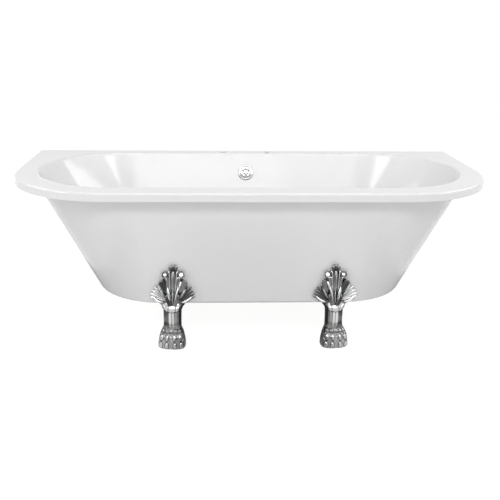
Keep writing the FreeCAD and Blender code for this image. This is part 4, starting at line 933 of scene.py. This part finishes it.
def make_floor():
    """A white floor: its own white where it is seen, with a little of the light on it for a soft shadow."""
    _, tree = new_stage_plane("floor", FLOOR_HALF, FLOOR_HALF, 0)
    lit = add_node(tree, "ShaderNodeBsdfDiffuse", Color=grey(FLOOR_BOUNCE))
    shaded = add_node(tree, "ShaderNodeBsdfDiffuse", Color=grey(FLOOR_SHADE))
    white = add_node(tree, "ShaderNodeEmission")
    place = add_node(tree, "ShaderNodeTexCoord")
    away = add_node(tree, "ShaderNodeVectorMath")
    away.operation = "LENGTH"
    strength = add_node(tree, "ShaderNodeMapRange", From_Min=FLOOR_FADE[0], From_Max=FLOOR_FADE[1],
                        To_Min=FLOOR_NEAR_WHITE, To_Max=FLOOR_FAR_WHITE)
    strength.interpolation_type = "SMOOTHSTEP"
    shown = add_node(tree, "ShaderNodeAddShader")
    mix = add_node(tree, "ShaderNodeMixShader")
    end = add_node(tree, "ShaderNodeOutputMaterial")
    link = tree.links.new
    link(place.outputs["Object"], away.inputs[0])
    link(away.outputs["Value"], strength.inputs["Value"])
    link(strength.outputs["Result"], white.inputs["Strength"])
    link(white.outputs["Emission"], shown.inputs[0])
    link(shaded.outputs["BSDF"], shown.inputs[1])
    link(seen_directly(tree), mix.inputs["Fac"])
    link(lit.outputs["BSDF"], mix.inputs[1])
    link(shown.outputs["Shader"], mix.inputs[2])
    link(mix.outputs["Shader"], end.inputs["Surface"])


FLAG_HALF_X = 2.0
FLAG_HALF_Y = 1.5
FLAG_LIFT = 0.0006
# Distances in front and behind between which the sheet's painted reflection fades to white
FLAG_FADE = (0.8, 1.4)
# Glow of the sheet, a painted reflection in the polished feet, by its distance from the bath's middle line
FLAG_TONES = ((0.18, 0.24), (0.26, 0.6), (0.34, 0.95), (0.46, 0.95), (0.56, 0.35), (0.74, 0.35), (0.84, 1.0))


def make_flag():
    """A striped sheet on the floor that glows and only reflections see: it paints dark and white reflections
    into the polished metal, as a photographer's flag would.

    It glows dark between the feet and grey further out, with a white stripe just outside each foot, and it
    fades to the floor's own white at its ends and further out in front and behind.
    """
    flag, tree = new_stage_plane("flag", FLAG_HALF_X, FLAG_HALF_Y, FLAG_LIFT)
    flag.visible_camera = False
    flag.visible_diffuse = False
    flag.visible_transmission = False
    flag.visible_shadow = False
    place = add_node(tree, "ShaderNodeTexCoord")
    split = add_node(tree, "ShaderNodeSeparateXYZ")
    link = tree.links.new
    link(place.outputs["Object"], split.inputs["Vector"])

    def distance(axis, low, high):
        """How far along one axis a place lies from the middle: nought up to low, one from high."""
        away = add_node(tree, "ShaderNodeMath")
        away.operation = "ABSOLUTE"
        share = add_node(tree, "ShaderNodeMapRange", From_Min=low, From_Max=high)
        link(split.outputs[axis], away.inputs[0])
        link(away.outputs[0], share.inputs["Value"])
        return share.outputs["Result"]

    stripes = add_node(tree, "ShaderNodeValToRGB")
    ramp = stripes.color_ramp
    ramp.interpolation = "EASE"
    ramp.elements.remove(ramp.elements[1])
    ramp.elements[0].position = 0
    ramp.elements[0].color = grey(FLAG_TONES[0][1])
    for reach, tone in FLAG_TONES:
        ramp.elements.new(reach / FLAG_HALF_X).color = grey(tone)
    strength = add_node(tree, "ShaderNodeMapRange", To_Max=1.0)
    strength.interpolation_type = "SMOOTHSTEP"
    glow = add_node(tree, "ShaderNodeEmission")
    end = add_node(tree, "ShaderNodeOutputMaterial")
    link(distance("X", 0, FLAG_HALF_X), stripes.inputs["Fac"])
    link(distance("Y", *FLAG_FADE), strength.inputs["Value"])
    link(stripes.outputs["Color"], strength.inputs["To Min"])
    link(strength.outputs["Result"], glow.inputs["Strength"])
    link(glow.outputs["Emission"], end.inputs["Surface"])


AMBIENT = 0.11


def make_surroundings():
    """Plain white where it is seen, and a softer even light on the object."""
    world = bpy.data.worlds.new("studio")
    bpy.context.scene.world = world
    world.use_nodes = True
    tree = world.node_tree
    shade = tree.nodes["Background"]
    set_sockets(shade, {"Color": grey(1)})
    strength = add_node(tree, "ShaderNodeMapRange", To_Min=AMBIENT, To_Max=1.0)
    tree.links.new(seen_directly(tree), strength.inputs["Value"])
    tree.links.new(strength.outputs["Result"], shade.inputs["Strength"])


# Soft boxes: place, aim, width, height and power
LIGHTS = {
    "overhead": ((0.0, -0.3, 3.0), (0.0, 0.0, 0.4), 3.6, 1.6, 20.0),
    "front": ((0.0, -3.4, 1.0), (0.0, 0.0, 0.4), 4.0, 0.8, 18.0),
    "front_high": ((0.0, -2.6, 2.6), (0.0, 0.2, 0.4), 3.0, 0.8, 31.0),
    "window": ((-0.12, -3.3, 1.5), (-0.12, 0.3, 0.45), 1.37, 0.4, 2.2),
    "wide_window": ((0.0, -3.35, 1.5), (0.0, 0.3, 0.45), 3.0, 0.4, 6.0),
    "left_strip": ((-2.6, -1.6, 1.2), (-0.6, -0.2, 0.4), 0.5, 1.8, 15.0),
    "right_strip": ((2.6, -1.6, 1.2), (0.6, -0.2, 0.4), 0.5, 1.8, 9.0),
    "left_box": ((-2.6, 0.1, 2.1), (0.5, 0.0, 0.4), 2.4, 0.9, 20.0),
    "right_box": ((2.6, 0.1, 2.1), (-0.5, 0.0, 0.4), 2.4, 0.9, 26.0),
    "rear": ((0.0, 2.8, 0.35), (0.0, 0.3, 0.3), 2.6, 0.5, 20.0),
}


# Nearly upright, so that a lamp may look straight down
LAMP_UPRIGHT = (0, 0.01, 1)


def turned_to(right, up, forward, place):
    """The matrix of a camera or lamp at a place, which looks forward along its own -Z."""
    turned = Matrix(np.stack([right, up, -forward], axis=1).tolist()).to_4x4()
    return Matrix.Translation(place) @ turned


def make_lights():
    """Soft boxes that light the bath and show in its gloss, but not to the camera."""
    for name, (place, aim, width, height, power) in LIGHTS.items():
        lamp = bpy.data.lights.new(name, "AREA")
        lamp.shape = "RECTANGLE"
        lamp.size = width
        lamp.size_y = height
        lamp.energy = power
        light = bpy.data.objects.new(name, lamp)
        bpy.context.scene.collection.objects.link(light)
        towards = unit(np.array(aim, float) - np.array(place, float))
        right = unit(np.cross(towards, LAMP_UPRIGHT))
        light.matrix_world = turned_to(right, np.cross(right, towards), towards, place)
        light.visible_camera = False


# Camera: where the photograph was taken from, fitted to rim, basin, tap holes, overflow, skirt and feet
CAMERA_PLACE = (-0.1733, -2.6276, 1.1216)
CAMERA_YAW = 0.0442
CAMERA_PITCH = 0.2165
CAMERA_ROLL = 0.0118
FRAME_PIXELS = 500
FOCAL_PIXELS = 726.18
CENTRE_PIXELS = (235, 175)
SENSOR = 36.0


def make_camera():
    """The photograph's view, with the lens shifted because its centre isn't the middle of the frame."""
    forward = np.array([np.sin(CAMERA_YAW) * np.cos(CAMERA_PITCH),
                        np.cos(CAMERA_YAW) * np.cos(CAMERA_PITCH), -np.sin(CAMERA_PITCH)])
    level = np.array([np.cos(CAMERA_YAW), -np.sin(CAMERA_YAW), 0])
    above = np.cross(level, forward)
    right = level * np.cos(CAMERA_ROLL) + above * np.sin(CAMERA_ROLL)
    up = above * np.cos(CAMERA_ROLL) - level * np.sin(CAMERA_ROLL)
    lens = bpy.data.cameras.new("camera")
    lens.sensor_width = SENSOR
    lens.lens = SENSOR * FOCAL_PIXELS / FRAME_PIXELS
    lens.shift_x = 0.5 - CENTRE_PIXELS[0] / FRAME_PIXELS
    lens.shift_y = CENTRE_PIXELS[1] / FRAME_PIXELS - 0.5
    camera = bpy.data.objects.new("camera", lens)
    bpy.context.scene.collection.objects.link(camera)
    camera.matrix_world = turned_to(right, up, forward, CAMERA_PLACE)
    bpy.context.scene.camera = camera


bpy.context.scene.view_settings.view_transform = "Standard"
finishes = paint_nodes()
make_feet(finishes["chrome_casting"])
make_rose(finishes["chrome_trim"])
make_hose(finishes["grey_hose"])
make_floor()
make_flag()
make_surroundings()
make_lights()
make_camera()
